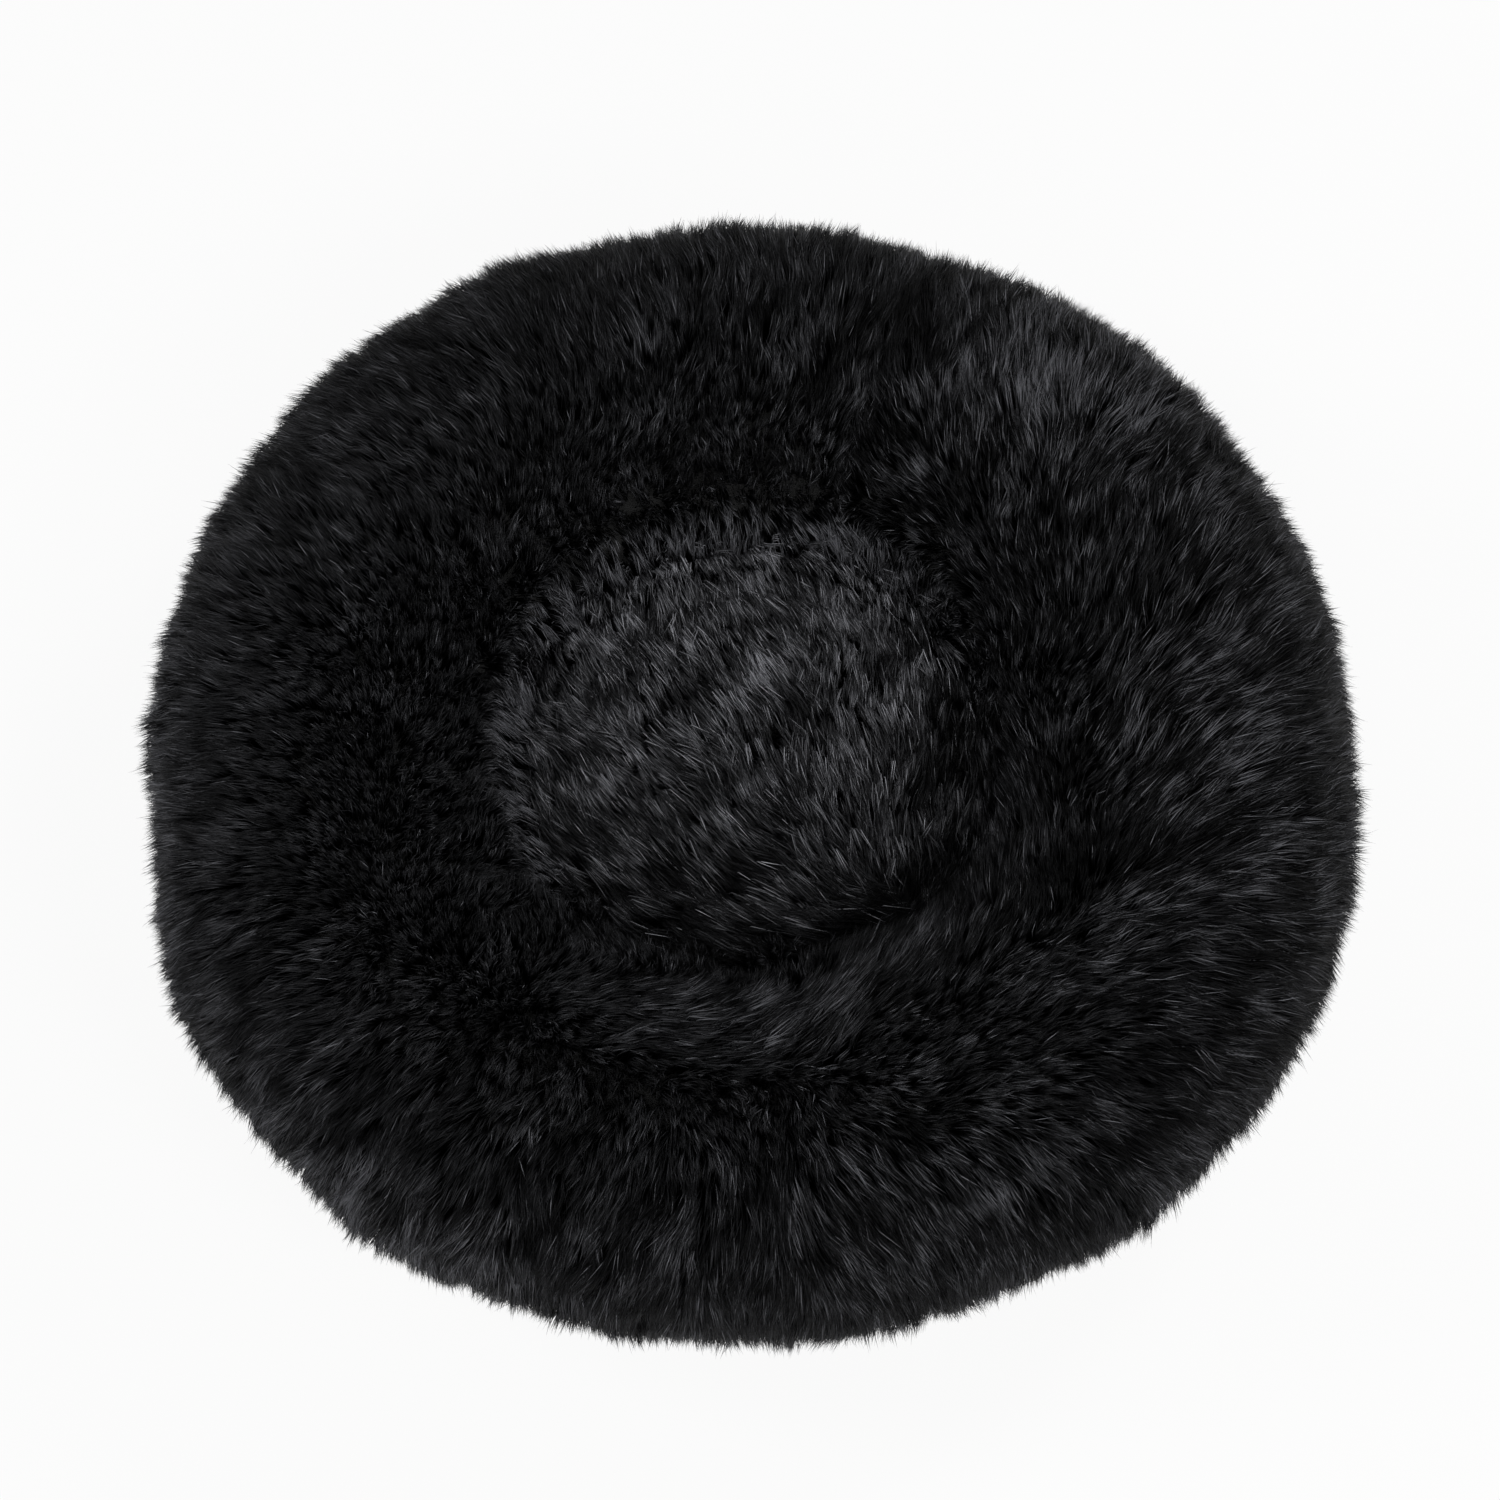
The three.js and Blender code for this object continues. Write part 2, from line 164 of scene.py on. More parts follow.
def grid_faces(rows, columns, closed_round, closed_along=False):
    """The quads of a grid of points, counted row by row."""
    corner = np.arange(rows * columns).reshape(rows, columns)
    if closed_round:
        corner = np.concatenate([corner, corner[:1]])
    if closed_along:
        corner = np.concatenate([corner, corner[:, :1]], 1)
    quads = [corner[:-1, :-1], corner[1:, :-1], corner[1:, 1:], corner[:-1, 1:]]
    return np.stack(quads, -1).reshape(-1, 4)


# Surfaces, read from the frame's solids

ANGLES = even_turns(AROUND, 0.5)
CLIMBS = np.linspace(BASE_CLIMB, WELL_CLIMB, ALONG)
SHARES = np.linspace(0, 1, WELL_RINGS)


class Surface:
    """A grid of points by angle round the bed and by a second measure, and the points between them."""

    TURN = 0.02
    STEP_SHARE = 0.01

    def __init__(self, points, first, last, outside=1):
        self.points = points
        self.first, self.last = first, last
        self.outside = outside

    def at(self, angle, measure):
        rows, columns = self.points.shape[:2]
        row = (np.asarray(angle) / tau * rows - 0.5) % rows
        share = np.clip((np.asarray(measure) - self.first) / (self.last - self.first), 0, 1)
        column = share * (columns - 1)
        i, j = np.floor(row).astype(int), np.minimum(np.floor(column).astype(int), columns - 2)
        past_row, past_column = (row - i)[..., None], (column - j)[..., None]
        i, after = i % rows, (i + 1) % rows
        near = self.points[i, j] * (1 - past_row) + self.points[after, j] * past_row
        far = self.points[i, j + 1] * (1 - past_row) + self.points[after, j + 1] * past_row
        return near * (1 - past_column) + far * past_column

    def frame(self, angle, measure):
        """Points, with the outward normal, the way round the bed and the way along the second measure."""
        step = (self.last - self.first) * self.STEP_SHARE
        round_way = unit(self.at(angle + self.TURN, measure) - self.at(angle - self.TURN, measure))
        low, high = np.maximum(measure - step, self.first), np.minimum(measure + step, self.last)
        along_way = unit(self.at(angle, high) - self.at(angle, low))
        normal = unit(np.cross(round_way, along_way)) * self.outside
        return self.at(angle, measure), normal, round_way, along_way


def tree_of(*names):
    points, faces = [], []
    for name in names:
        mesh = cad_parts[name].data
        first = len(points)
        points += [vertex.co.copy() for vertex in mesh.vertices]
        faces += [[first + i for i in polygon.vertices] for polygon in mesh.polygons]
    return BVHTree.FromPolygons(points, faces)


def evened(grid, way):
    return (np.roll(grid, 1, way) + 2 * grid + np.roll(grid, -1, way)) / 4


def rounded(grid, times):
    """The grid with its facets rounded off: the first axis closes on itself, the second keeps its ends."""
    for _ in range(times):
        grid = evened(grid, 0)
        inner = (grid[:, :-2] + 2 * grid[:, 1:-1] + grid[:, 2:]) / 4
        grid = np.concatenate([grid[:, :1], inner, grid[:, -1:]], 1)
    return grid


def forward(climb):
    return WELL_FORWARD * (1 - np.cos(climb)) / 2


def tube_point(angle, climb, reach):
    radius = RING_RADIUS + reach * np.cos(climb)
    y = radius * np.sin(angle) - forward(climb)
    return np.stack([radius * np.cos(angle), y, TUBE_MIDDLE + reach * np.sin(climb)], -1)


def tube_reach():
    """How far the pile's surface is from the middle of the tube, by angle and climb."""
    tree = tree_of("bolster_cover_left", "bolster_cover_right")
    reach = np.full((AROUND, ALONG), HALF_HEIGHT)
    for i, angle in enumerate(ANGLES):
        for j, climb in enumerate(np.clip(CLIMBS, BASE_CLIMB + SEAM_MARGIN, WELL_CLIMB - SEAM_MARGIN)):
            middle = Vector(tube_point(angle, climb, 0))
            start = Vector(tube_point(angle, climb, RAY_REACH))
            hit = tree.ray_cast(start, middle - start, RAY_REACH)[0]
            if hit is not None:
                reach[i, j] = (hit - middle).length
    return rounded(reach, ROUNDING)


def bolster_pile(climb):
    """Depth of the pile over the tube's cloth: it thins out at the two seams."""
    from_base = (climb - BASE_CLIMB) * HALF_HEIGHT / BASE_FADE
    from_well = (WELL_CLIMB - climb) * HALF_HEIGHT / WELL_FADE
    return PILE_DEPTH * smooth(from_base) * smooth(from_well)


# The tube's cloth bulges, in lumps and ripples, but less near its seams
BULGE = 0.0018
LUMPS = Waves((0.11, 0.002), (0.04, 0.0006))
FREE_FROM_BASE = 0.5
FREE_FROM_WELL = 0.4


def bolster_cloth():
    """The cloth under the pile, a little uneven from its filling."""
    reach = tube_reach()
    angle, climb = grid_of(ANGLES, CLIMBS)
    flat = tube_point(angle, climb, reach - bolster_pile(climb))
    free = smooth((climb - BASE_CLIMB) / FREE_FROM_BASE) * smooth((WELL_CLIMB - climb) / FREE_FROM_WELL)
    swell = free * LUMPS.at(flat, BULGE)
    return Surface(tube_point(angle, climb, reach - bolster_pile(climb) + swell), BASE_CLIMB, WELL_CLIMB)


# How low the well's cloth lies before its stuffing lifts it
WELL_SLACK = 0.0045
SLACK_BLEND_SHARE = 0.4


def well_pile(share):
    return PILE_DEPTH * smooth((1 - share) * WELL_RADIUS / WELL_FADE)


def well_cloth():
    """The well's cloth by angle and by share of the way to its rim, the tube's inner seam."""
    tree = tree_of("well_fur_panel")
    low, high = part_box("well_fur_panel")
    middle = (Vector(low) + Vector(high)) / 2
    above = Vector((0, 0, 1))
    points = np.zeros((AROUND, WELL_RINGS, 3))
    for i, angle in enumerate(ANGLES):
        way = Vector((cos(angle), sin(angle), 0))
        side = Vector((middle.x, middle.y, low[2] + BACKING / 2))
        rim = tree.ray_cast(side + way, -way)[0]
        radius = (rim - side).length if rim is not None else WELL_RADIUS
        for j, share in enumerate(SHARES):
            start = side + way * radius * min(share, WELL_EDGE_SHARE) + above
            hit = tree.ray_cast(start, -above)[0]
            points[i, j] = (start.x, start.y, hit.z if hit is not None else points[i, j - 1, 2])
    points[..., 2] -= well_pile(SHARES)
    slack = WELL_SLACK * smooth((1 - SHARES) / SLACK_BLEND_SHARE)
    points[..., 2] = rounded(points[..., 2], WELL_ROUNDING) - slack
    points[:, -1] = BOLSTER.points[:, -1]
    return Surface(points, 0, 1, outside=-1)


BOLSTER = bolster_cloth()
WELL = well_cloth()


# The stuffing swells the covers: cloth held at its seams, pressed from inside

SWELL_SETTINGS = {
    "quality": 5,
    "tension_stiffness": 6,
    "compression_stiffness": 6,
    "use_pressure": True,
    "uniform_pressure_force": 4,
}
SWELL_FRAMES = 20
SWELL_CAP = 0.005
BOLSTER_GRID = (180, 56)
WELL_GRID = (72, 16)
WELL_GRID_START = 0.12


def pressed(mesh, seams):
    """Where the mesh's points come to rest under pressure, while its seams are held."""
    made = add_object("swelling", mesh)
    held = made.vertex_groups.new(name="seams")
    held.add(seams, 1.0, "REPLACE")
    cloth = made.modifiers.new("cloth", "CLOTH")
    for name, value in SWELL_SETTINGS.items():
        setattr(cloth.settings, name, value)
    cloth.settings.vertex_group_mass = held.name
    cloth.settings.effector_weights.gravity = 0
    cloth.point_cache.frame_end = SWELL_FRAMES
    for number in range(1, SWELL_FRAMES + 1):
        SCENE.frame_set(number)
    swollen = made.evaluated_get(bpy.context.evaluated_depsgraph_get()).data
    moved = np.empty(len(mesh.vertices) * 3, np.float32)
    swollen.vertices.foreach_get("co", moved)
    SCENE.frame_set(1)
    bpy.data.objects.remove(made)
    return moved.reshape(-1, 3)


def swelling(surface, grid, first, seams):
    """How far the surface moves, as a surface of shifts that starts at the measure first."""
    rows, columns = grid
    measures = np.linspace(first, surface.last, columns)
    angle, measure = grid_of(even_turns(rows, 0.5), measures)
    points = surface.at(angle, measure).reshape(-1, 3)
    faces = grid_faces(rows, columns, True)[:, :: surface.outside]
    mesh = bpy.data.meshes.new("swelling")
    mesh.from_pydata(points.tolist(), [], faces.tolist())
    held = [row * columns + seam % columns for row in range(rows) for seam in seams]
    shift = pressed(mesh, held) - points
    bpy.data.meshes.remove(mesh)
    far = norm(shift, axis=1, keepdims=True)
    shift *= np.minimum(1, SWELL_CAP / np.maximum(far, 1e-9))
    return Surface(shift.reshape(rows, columns, 3), first, surface.last)


def swell(surface, measures, *how):
    angle, measure = grid_of(ANGLES, measures)
    surface.points += swelling(surface, *how).at(angle, measure)


swell(BOLSTER, CLIMBS, BOLSTER_GRID, BASE_CLIMB, (0, -1))
swell(WELL, SHARES, WELL_GRID, WELL_GRID_START, (-1,))


# Materials

# Along a strand: where its root ends, where the tip's colour starts and stops, and how dark it ends
# Painted shade: the dark root stands for the shade deep in the pile, the dark end for strands seen end-on
ROOT_SHARE = 0.3
TIP_SHARES = (0.6, 0.84)
END_PAINTED_SHADE_SHARE = 0.3
# How bright a strand is, by its shade; the top stop, at 1, is for lint and painted glints
SHADE_LEVELS = ((0, 0.04), (0.35, 0.3), (0.6, 1.1), (0.85, 4.2), (1, 9.0))
COOL_SHARE = 1.03
# A wave texture's scale counts in these
WAVE_UNITS = 20


def material(name, base, roughness, metallic=0.0):
    made = bpy.data.materials.new(name)
    made.use_nodes = True
    shader = made.node_tree.nodes["Principled BSDF"]
    shader.inputs["Base Color"].default_value = (*base, 1)
    shader.inputs["Roughness"].default_value = roughness
    shader.inputs["Metallic"].default_value = metallic
    return made, made.node_tree, shader


def add_node(tree, kind, inputs=(), **settings):
    """The outputs of a new node, whose inputs are numbers or outputs of other nodes."""
    made = tree.nodes.new(f"ShaderNode{kind}")
    for name, value in settings.items():
        setattr(made, name, value)
    for socket, value in dict(inputs).items():
        if isinstance(value, bpy.types.NodeSocket):
            tree.links.new(value, made.inputs[socket])
        else:
            made.inputs[socket].default_value = value
    return made.outputs


def computed(tree, operation, first, second):
    return add_node(tree, "Math", {0: first, 1: second}, operation=operation)[0]


def ramp(tree, source, *stops):
    """Colours by a value between 0 and 1: each stop is its place and its colour."""
    made = tree.nodes.new("ShaderNodeValToRGB")
    elements = made.color_ramp.elements
    while len(elements) < len(stops):
        elements.new(1.0)
    for element, (place, colour) in zip(elements, stops):
        element.position = place
        element.color = (*colour, 1)
    tree.links.new(source, made.inputs[0])
    return made.outputs[0]


def raise_surface(tree, shader, height, distance):
    raised = add_node(tree, "Bump", {"Distance": distance, "Height": height})[0]
    tree.links.new(raised, shader.inputs["Normal"])


def fur_material(name, root, tip):
    """The colour runs from root to tip and differs by strand: U is its shade, V the way along it."""
    made, tree, shader = material(name, tip, 0.32)
    shader.inputs["Specular IOR Level"].default_value = 0.04
    uv = add_node(tree, "UVMap", uv_map=UV_MAP)[0]
    split = add_node(tree, "SeparateXYZ", {0: uv})
    # Painted shade: the strand's end is darkened, so that strands seen end-on look dark
    end = tuple(END_PAINTED_SHADE_SHARE * value for value in tip)
    stops = ((ROOT_SHARE, root), *((share, tip) for share in TIP_SHARES), (1.0, end))
    along = ramp(tree, split[1], *stops)
    stops = ((place, (level, level, COOL_SHARE * level)) for place, level in SHADE_LEVELS)
    shade = ramp(tree, split[0], *stops)
    both = add_node(tree, "Mix", {0: 1, 6: along, 7: shade}, data_type="RGBA", blend_type="MULTIPLY")[2]
    tree.links.new(both, shader.inputs["Base Color"])
    return made


def cloth_material(name, dark, light, thread, bump, roughness=0.8):
    """A plain weave: two crossed waves of threads."""
    made, tree, shader = material(name, light, roughness)
    place = add_node(tree, "TexCoord")["Object"]
    wave = {"Scale": tau / (thread * WAVE_UNITS), "Distortion": 0.4, "Vector": place}
    waves = (add_node(tree, "TexWave", wave, bands_direction=way)["Fac"] for way in ("X", "Y"))
    both = computed(tree, "MULTIPLY", *waves)
    tree.links.new(ramp(tree, both, (0, dark), (1, light)), shader.inputs["Base Color"])
    raise_surface(tree, shader, both, bump)
    return made


def grained_material(name, dark, light, size, roughness, metallic=0.0, bump=0.0001):
    """A finish with a fine uneven grain."""
    made, tree, shader = material(name, light, roughness, metallic)
    place = add_node(tree, "TexCoord")["Object"]
    grain = add_node(tree, "TexNoise", {"Scale": 1 / size, "Detail": 4, "Vector": place})["Fac"]
    tree.links.new(ramp(tree, grain, (0.3, dark), (0.7, light)), shader.inputs["Base Color"])
    raise_surface(tree, shader, grain, bump)
    return made


# The dark root colours are painted shade, for the shade deep in the pile
FUR = fur_material("fur", (0.0012, 0.0012, 0.0013), (0.024, 0.0243, 0.0258))
# The well's fur is a little lighter of its own, and much lighter again as painted light, for its lying
# strands catch the light
WELL_FUR_PAINTED_LIGHTER = fur_material("well_fur", (0.002, 0.002, 0.0022), (0.052, 0.0525, 0.055))
BACKING_CLOTH = cloth_material("fur_backing", (0.002, 0.002, 0.002), (0.006, 0.006, 0.0063), 0.0008, 0.0002)
BASE_CLOTH = cloth_material("base_cloth", (0.01, 0.01, 0.011), (0.034, 0.034, 0.036), 0.0011, 0.00015)
GRIP = grained_material("grip_dots", (0.012, 0.012, 0.012), (0.02, 0.02, 0.021), 0.002, 0.5)
NONWOVEN = grained_material("nonwoven", (0.66, 0.65, 0.63), (0.8, 0.79, 0.77), 0.0015, 0.9)
FIBRE = grained_material("fibre", (0.76, 0.75, 0.73), (0.88, 0.87, 0.85), 0.004, 1.0)
TAPE = cloth_material("zip_tape", (0.008, 0.008, 0.009), (0.024, 0.024, 0.026), 0.0005, 0.0002, 0.75)
NYLON = grained_material("zip_nylon", (0.018, 0.018, 0.02), (0.028, 0.028, 0.03), 0.002, 0.4)
METAL = grained_material("zip_metal", (0.045, 0.045, 0.048), (0.06, 0.06, 0.064), 0.003, 0.35, 1.0)


# Meshes

def object_of(name, mesh, finish):
    made = add_object(name, mesh)
    mesh.materials.append(finish)
    mesh.shade_smooth()
    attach(made, "bed")
    return made


def mesh_object(name, points, faces, finish):
    mesh = bpy.data.meshes.new(name)
    mesh.from_pydata(np.reshape(points, (-1, 3)).tolist(), [], faces)
    return object_of(name, mesh, finish)


def thicken(made, thickness):
    """Give a sheet its thickness, inwards."""
    thick = made.modifiers.new("cloth", "SOLIDIFY")
    thick.thickness = thickness
    thick.offset = -1


def cloth_object(name, points, faces, thickness, finish, slot):
    made = mesh_object(name, points, faces.tolist(), finish)
    thicken(made, thickness)
    return made


def facing_out(made):
    mesh = bmesh.new()
    mesh.from_mesh(made.data)
    bmesh.ops.recalc_face_normals(mesh, faces=mesh.faces)
    mesh.to_mesh(made.data)
    mesh.free()
    return made


def rings_round(paths, crossing, radii, sides):
    """A ring of points round each point of each path; crossing holds vectors that cross the paths."""
    along = unit(np.gradient(paths, axis=1))
    across = unit(np.cross(along, crossing))
    side = np.cross(across, along)
    turns = even_turns(sides)[None, None, :, None]
    around = side[:, :, None] * np.cos(turns) + across[:, :, None] * np.sin(turns)
    return paths[:, :, None] + around * radii[..., None, None]


def tubes_object(name, paths, radii, sides, crossing, finish, slot):
    """Closed tubes: paths is tubes x points x 3, and the radii go with the points."""
    count, length = paths.shape[:2]
    points = rings_round(paths, crossing, radii[None], sides)
    faces = []
    for first in range(0, count * length * sides, length * sides):
        faces += (grid_faces(length, sides, False, True) + first).tolist()
        faces.append([first + side for side in range(sides)])
        faces.append([first + length * sides - 1 - side for side in range(sides)])
    return facing_out(mesh_object(name, points, faces, finish))


def strands_object(name, curves, crossing, radii, shades, finish, slot):
    """Tapering strands: each curve holds the middles of a strand's rings, and its tip."""
    count, rings, sides = len(curves), curves.shape[1] - 1, STRAND_SIDES
    each = rings * sides + 1
    last = (rings - 1) * sides
    points = rings_round(curves, crossing[:, None], radii, sides).reshape(count, -1, 3)[:, :each]
    faces = np.roll(grid_faces(rings, sides, False, True)[:, ::-1], 1, 1).tolist()
    faces += [(last + s, last + (s + 1) % sides, each - 1) for s in range(sides)]
    faces.append(tuple(reversed(range(sides))))
    corners = np.array([corner for face in faces for corner in face])
    corners = (np.arange(count)[:, None] * each + corners).reshape(-1)
    totals = np.tile([len(face) for face in faces], count)
    mesh = bpy.data.meshes.new(name)
    mesh.vertices.add(count * each)
    mesh.vertices.foreach_set("co", points.reshape(-1).astype(np.float32))
    mesh.loops.add(corners.size)
    mesh.loops.foreach_set("vertex_index", corners.astype(np.int32))
    mesh.polygons.add(len(totals))
    mesh.polygons.foreach_set("loop_start", (np.cumsum(totals) - totals).astype(np.int32))
    mesh.polygons.foreach_set("loop_total", totals.astype(np.int32))
    way = np.repeat(STATION_SHARES, [sides] * rings + [1])
    uv = np.stack([np.repeat(shades[:, None], each, 1), np.tile(way, (count, 1))], -1).reshape(-1, 2)
    layer = mesh.uv_layers.new(name=UV_MAP)
    layer.data.foreach_set("uv", uv[corners].reshape(-1).astype(np.float32))
    mesh.update(calc_edges=True)
    return object_of(name, mesh, finish)


# Fur: strands in clumps, and clumps that lean together into tufts

SWING = Waves((0.055, 0.24), (0.017, 0.22))
HEIGHT = Waves((0.022, 0.06), (0.009, 0.07))
TONE = Waves((0.03, 0.14), (0.013, 0.12))


class Centres:
    """Places that neighbouring clumps lean to: one in each cell of a grid in space."""

    COUNT = 4096
    CELL_KEYS = (73856093, 19349663, 83492791)

    def __init__(self, size):
        self.size = size
        self.off = RNG.uniform(0.1, 0.9, (self.COUNT, 3))

    def towards_nearest(self, points):
        cell = np.floor(points / self.size).astype(np.int64)
        best = np.full(len(points), np.inf)
        towards = np.zeros_like(points)
        for step in itertools.product((-1, 0, 1), repeat=3):
            here = cell + step
            centre = (here + self.off[(here * self.CELL_KEYS).sum(1) % self.COUNT]) * self.size
            far = norm(centre - points, axis=1)
            nearer = far < best
            best[nearer] = far[nearer]
            towards[nearer] = (centre - points)[nearer]
        return towards


TUFTS = Centres(0.0058)

# How far a clump swings aside by chance, its height over the cloth, and its reach when it lies
SWING_SPREAD = 0.12
HEIGHT_SPREAD = 0.04
UPRIGHT_SHARE = 1.04
LYING_LOSS_SHARE = 0.16
OVER_PILE = 0.0028
LYING_REACH = 0.027
REACH_SPREAD = (0.85, 1.1)
SHORTEST_AT_WELL = 0.016
SHORTEST_AT_BASE = 0.006
# How its axis bends: powers of the way along it, and how soon it lies down
BEND_AHEAD = 1.6
BEND_DOWN = 2.5
BEND_ASIDE = 2
# How far it leans to its tuft, as shares of the way there, and how far it misses
TUFT_SHARE_ACROSS = 0.8
TUFT_SHARE_ALONG = 0.3
TUFT_MISS = 0.0006
# Its strands: how wide they start, how far they gather, how long they are, how far some stray
ROOT_SPREAD = CLUMP_SPACING * 0.5
GATHERED = 0.62
LENGTH_SPREAD = (0.8, 1.06)
STRAY = 0.0008
STRAY_FURTHER = 3
STRAY_FURTHER_SHARE = 0.05
THICKNESS_SPREAD = (0.75, 1.3)
FACING_SPREAD = 0.6
FLOOR_SKIM = 0.001
FLOOR_SPREAD = 0.002
# Their shades, from 0 to 1. Painted light gives lying fur more contrast; a few strands are lint and painted
# glints
MIDDLE_SHADE = 0.43
BRIGHTEST_SHADE = 0.96
UPRIGHT_CONTRAST = 0.4
LYING_CONTRAST = 0.8
SHADE_BY_CLUMP = 0.12
SHADE_BY_STRAND = 0.2
LINT_AND_PAINTED_GLINT_SHARE = 0.01


def clump_axes(point, normal, lay, lean, pile, swing_share, tangle):
    """Each clump's way ahead, its way aside, and its axis as points from its root."""
    count = len(point)
    ahead_way = unit(lay)
    side_way = np.cross(normal, ahead_way)
    swing = SWING.at(point, RNG.normal(0, SWING_SPREAD, count))
    swing = swing * swing_share + tangle * RNG.normal(0, 1, count)
    ahead_way = ahead_way * np.cos(swing)[:, None] + side_way * np.sin(swing)[:, None]
    side_way = np.cross(normal, ahead_way)
    uneven = HEIGHT.at(point, 1) + RNG.normal(0, HEIGHT_SPREAD, count)
    height = (pile * (UPRIGHT_SHARE - LYING_LOSS_SHARE * lean) + OVER_PILE) * uneven
    reach = LYING_REACH * lean * RNG.uniform(*REACH_SPREAD, count)
    towards = TUFTS.towards_nearest(point)
    across = (towards * side_way).sum(1) * TUFT_SHARE_ACROSS + RNG.normal(0, TUFT_MISS, count)
    along = (towards * ahead_way).sum(1) * TUFT_SHARE_ALONG
    t = np.array(STATION_SHARES)
    ahead = reach[:, None] * t**BEND_AHEAD + along[:, None] * t**BEND_ASIDE
    up = height[:, None] * (t + lean[:, None] * (1 - (1 - t) ** BEND_DOWN - t))
    axis = (
        ahead_way[:, None] * ahead[..., None]
        + normal[:, None] * up[..., None]
        + side_way[:, None] * (across[:, None] * t**BEND_ASIDE)[..., None]
    )
    return ahead_way, side_way, axis


def strand_curves(point, ahead_way, side_way, axis):
    """Each clump's strands, spread over the cloth at their roots and gathered at their tips."""
    count, k = len(point), STRANDS_PER_CLUMP
    t = np.array(STATION_SHARES)
    root = RNG.normal(0, ROOT_SPREAD, (count, k, 2))
    start = ahead_way[:, None] * root[..., :1] + side_way[:, None] * root[..., 1:]
    length = RNG.uniform(*LENGTH_SPREAD, (count, k))
    stray = RNG.normal(0, STRAY, (count, k, 3))
    further = RNG.uniform(0, 1, (count, k, 1)) < STRAY_FURTHER_SHARE
    stray = stray * np.where(further, STRAY_FURTHER, 1)
    curves = (
        point[:, None, None]
        + axis[:, None] * length[..., None, None]
        + start[:, :, None] * (1 - GATHERED * smooth(t))[:, None]
        + stray[:, :, None] * (t**BEND_ASIDE)[:, None]
    ).reshape(count * k, len(t), 3)
    lowest = FLOOR_SKIM + RNG.uniform(0, FLOOR_SPREAD, (count * k, 1))
    curves[..., 2] = np.maximum(curves[..., 2], lowest)
    return curves


def strand_shades(point, lean, painted_shading, relief):
    count, k = len(point), STRANDS_PER_CLUMP
    # Painted light: lying strands get more contrast, as lit lying fur shows
    contrast = (UPRIGHT_CONTRAST + LYING_CONTRAST * lean) * relief
    patches = TONE.at(point) + RNG.normal(0, SHADE_BY_CLUMP, count)
    # The shift here is painted light and shade
    by_clump = MIDDLE_SHADE + painted_shading + contrast * patches
    by_strand = np.repeat(contrast, k) * RNG.normal(0, SHADE_BY_STRAND, count * k)
    shades = np.clip(np.repeat(by_clump, k) + by_strand, 0.0, BRIGHTEST_SHADE)
    # Lint and painted glints: a few strands at the top shade, more where the painted relief is higher
    lint_and_glint = LINT_AND_PAINTED_GLINT_SHARE * np.repeat(np.broadcast_to(relief, count) ** 2, k)
    shades[RNG.uniform(0, 1, count * k) < lint_and_glint] = 1.0
    return shades


def fur_strands(point, normal, lay, pile, swing_share, tangle, painted_shading, relief):
    """What strands_object takes. The lay points where the fur leans: 0 long if upright, 1 if lying."""
    lean = np.clip(norm(lay, axis=1), 0, 1)
    ahead_way, side_way, axis = clump_axes(point, normal, lay, lean, pile, swing_share, tangle)
    curves = strand_curves(point, ahead_way, side_way, axis)
    crossing = np.repeat(side_way, STRANDS_PER_CLUMP, 0) + RNG.normal(0, FACING_SPREAD, (len(curves), 3))
    thick = STRAND_RADIUS * RNG.uniform(*THICKNESS_SPREAD, len(curves))
    radii = thick[:, None] * np.array(TAPER_SHARES)
    return curves, unit(crossing), radii, strand_shades(point, lean, painted_shading, relief)


# How the fur lies on the bolster: angle and climb in degrees, their spreads, the weight, and the lay
# round the bed (+ is anticlockwise) and up the section (+ is over the crest into the well)
LAY_REGIONS = (
    (47, 92, 14, 34, 1, 0.4, -0.62),
    (34, 58, 14, 26, 1, 0.36, -0.66),
    (20, 107, 15, 20, 1, 0.45, -0.2),
    (45, 142, 18, 22, 1, 0.4, -0.05),
    (5, 69, 14, 24, 1.4, 0.52, -0.74),
    (350, 84, 13, 24, 1.5, 0.65, -0.58),
    (341, 96, 9, 13, 1.4, 0.85, -0.3),
    (345, 55, 14, 20, 1.4, 0.5, -0.7),
    (328, 74, 12, 20, 1.3, 0.6, -0.6),
    (330, 46, 14, 22, 1.2, 0.48, -0.66),
    (327, 114, 9, 12, 2.5, 0.1, 0.05),
    (341, 150, 16, 16, 1.2, 0.6, 0.15),
    (300, 132, 15, 16, 1.5, 0.7, 0.42),
    (268, 116, 16, 13, 2.2, 0.88, 0.3),
    (252, 108, 11, 13, 1.4, 0.7, 0.3),
    (295, 86, 12, 15, 1.2, 0.42, 0.02),
    (306, 68, 12, 15, 1.2, 0.34, -0.1),
    (300, 44, 13, 18, 1, 0.32, -0.42),
    (277, 52, 8, 26, 2, 0.36, -0.8),
    (264, 36, 8, 26, 1.6, -0.3, -0.7),
    (268, 84, 12, 12, 1.2, 0.02, -0.3),
    (235, 65, 20, 30, 1, 0.12, -0.4),
    (240, 28, 20, 22, 1, -0.04, -0.62),
    (212, 52, 18, 28, 1, -0.1, -0.38),
    (192, 48, 18, 28, 1, -0.16, -0.5),
    (195, 104, 34, 34, 2, 0.16, -0.04),
    (165, 72, 16, 32, 1, -0.1, -0.46),
    (142, 66, 15, 28, 1.2, 0.28, -0.62),
    (126, 64, 15, 28, 1.2, 0.26, -0.62),
    (104, 70, 15, 28, 1, 0.05, -0.58),
    (112, 128, 26, 22, 1.4, -0.05, -0.28),
    (84, 62, 12, 36, 1, 0.1, -0.6),
)
WEIGHT_ELSEWHERE = 0.35
LAY_ELSEWHERE = (0, -0.55)

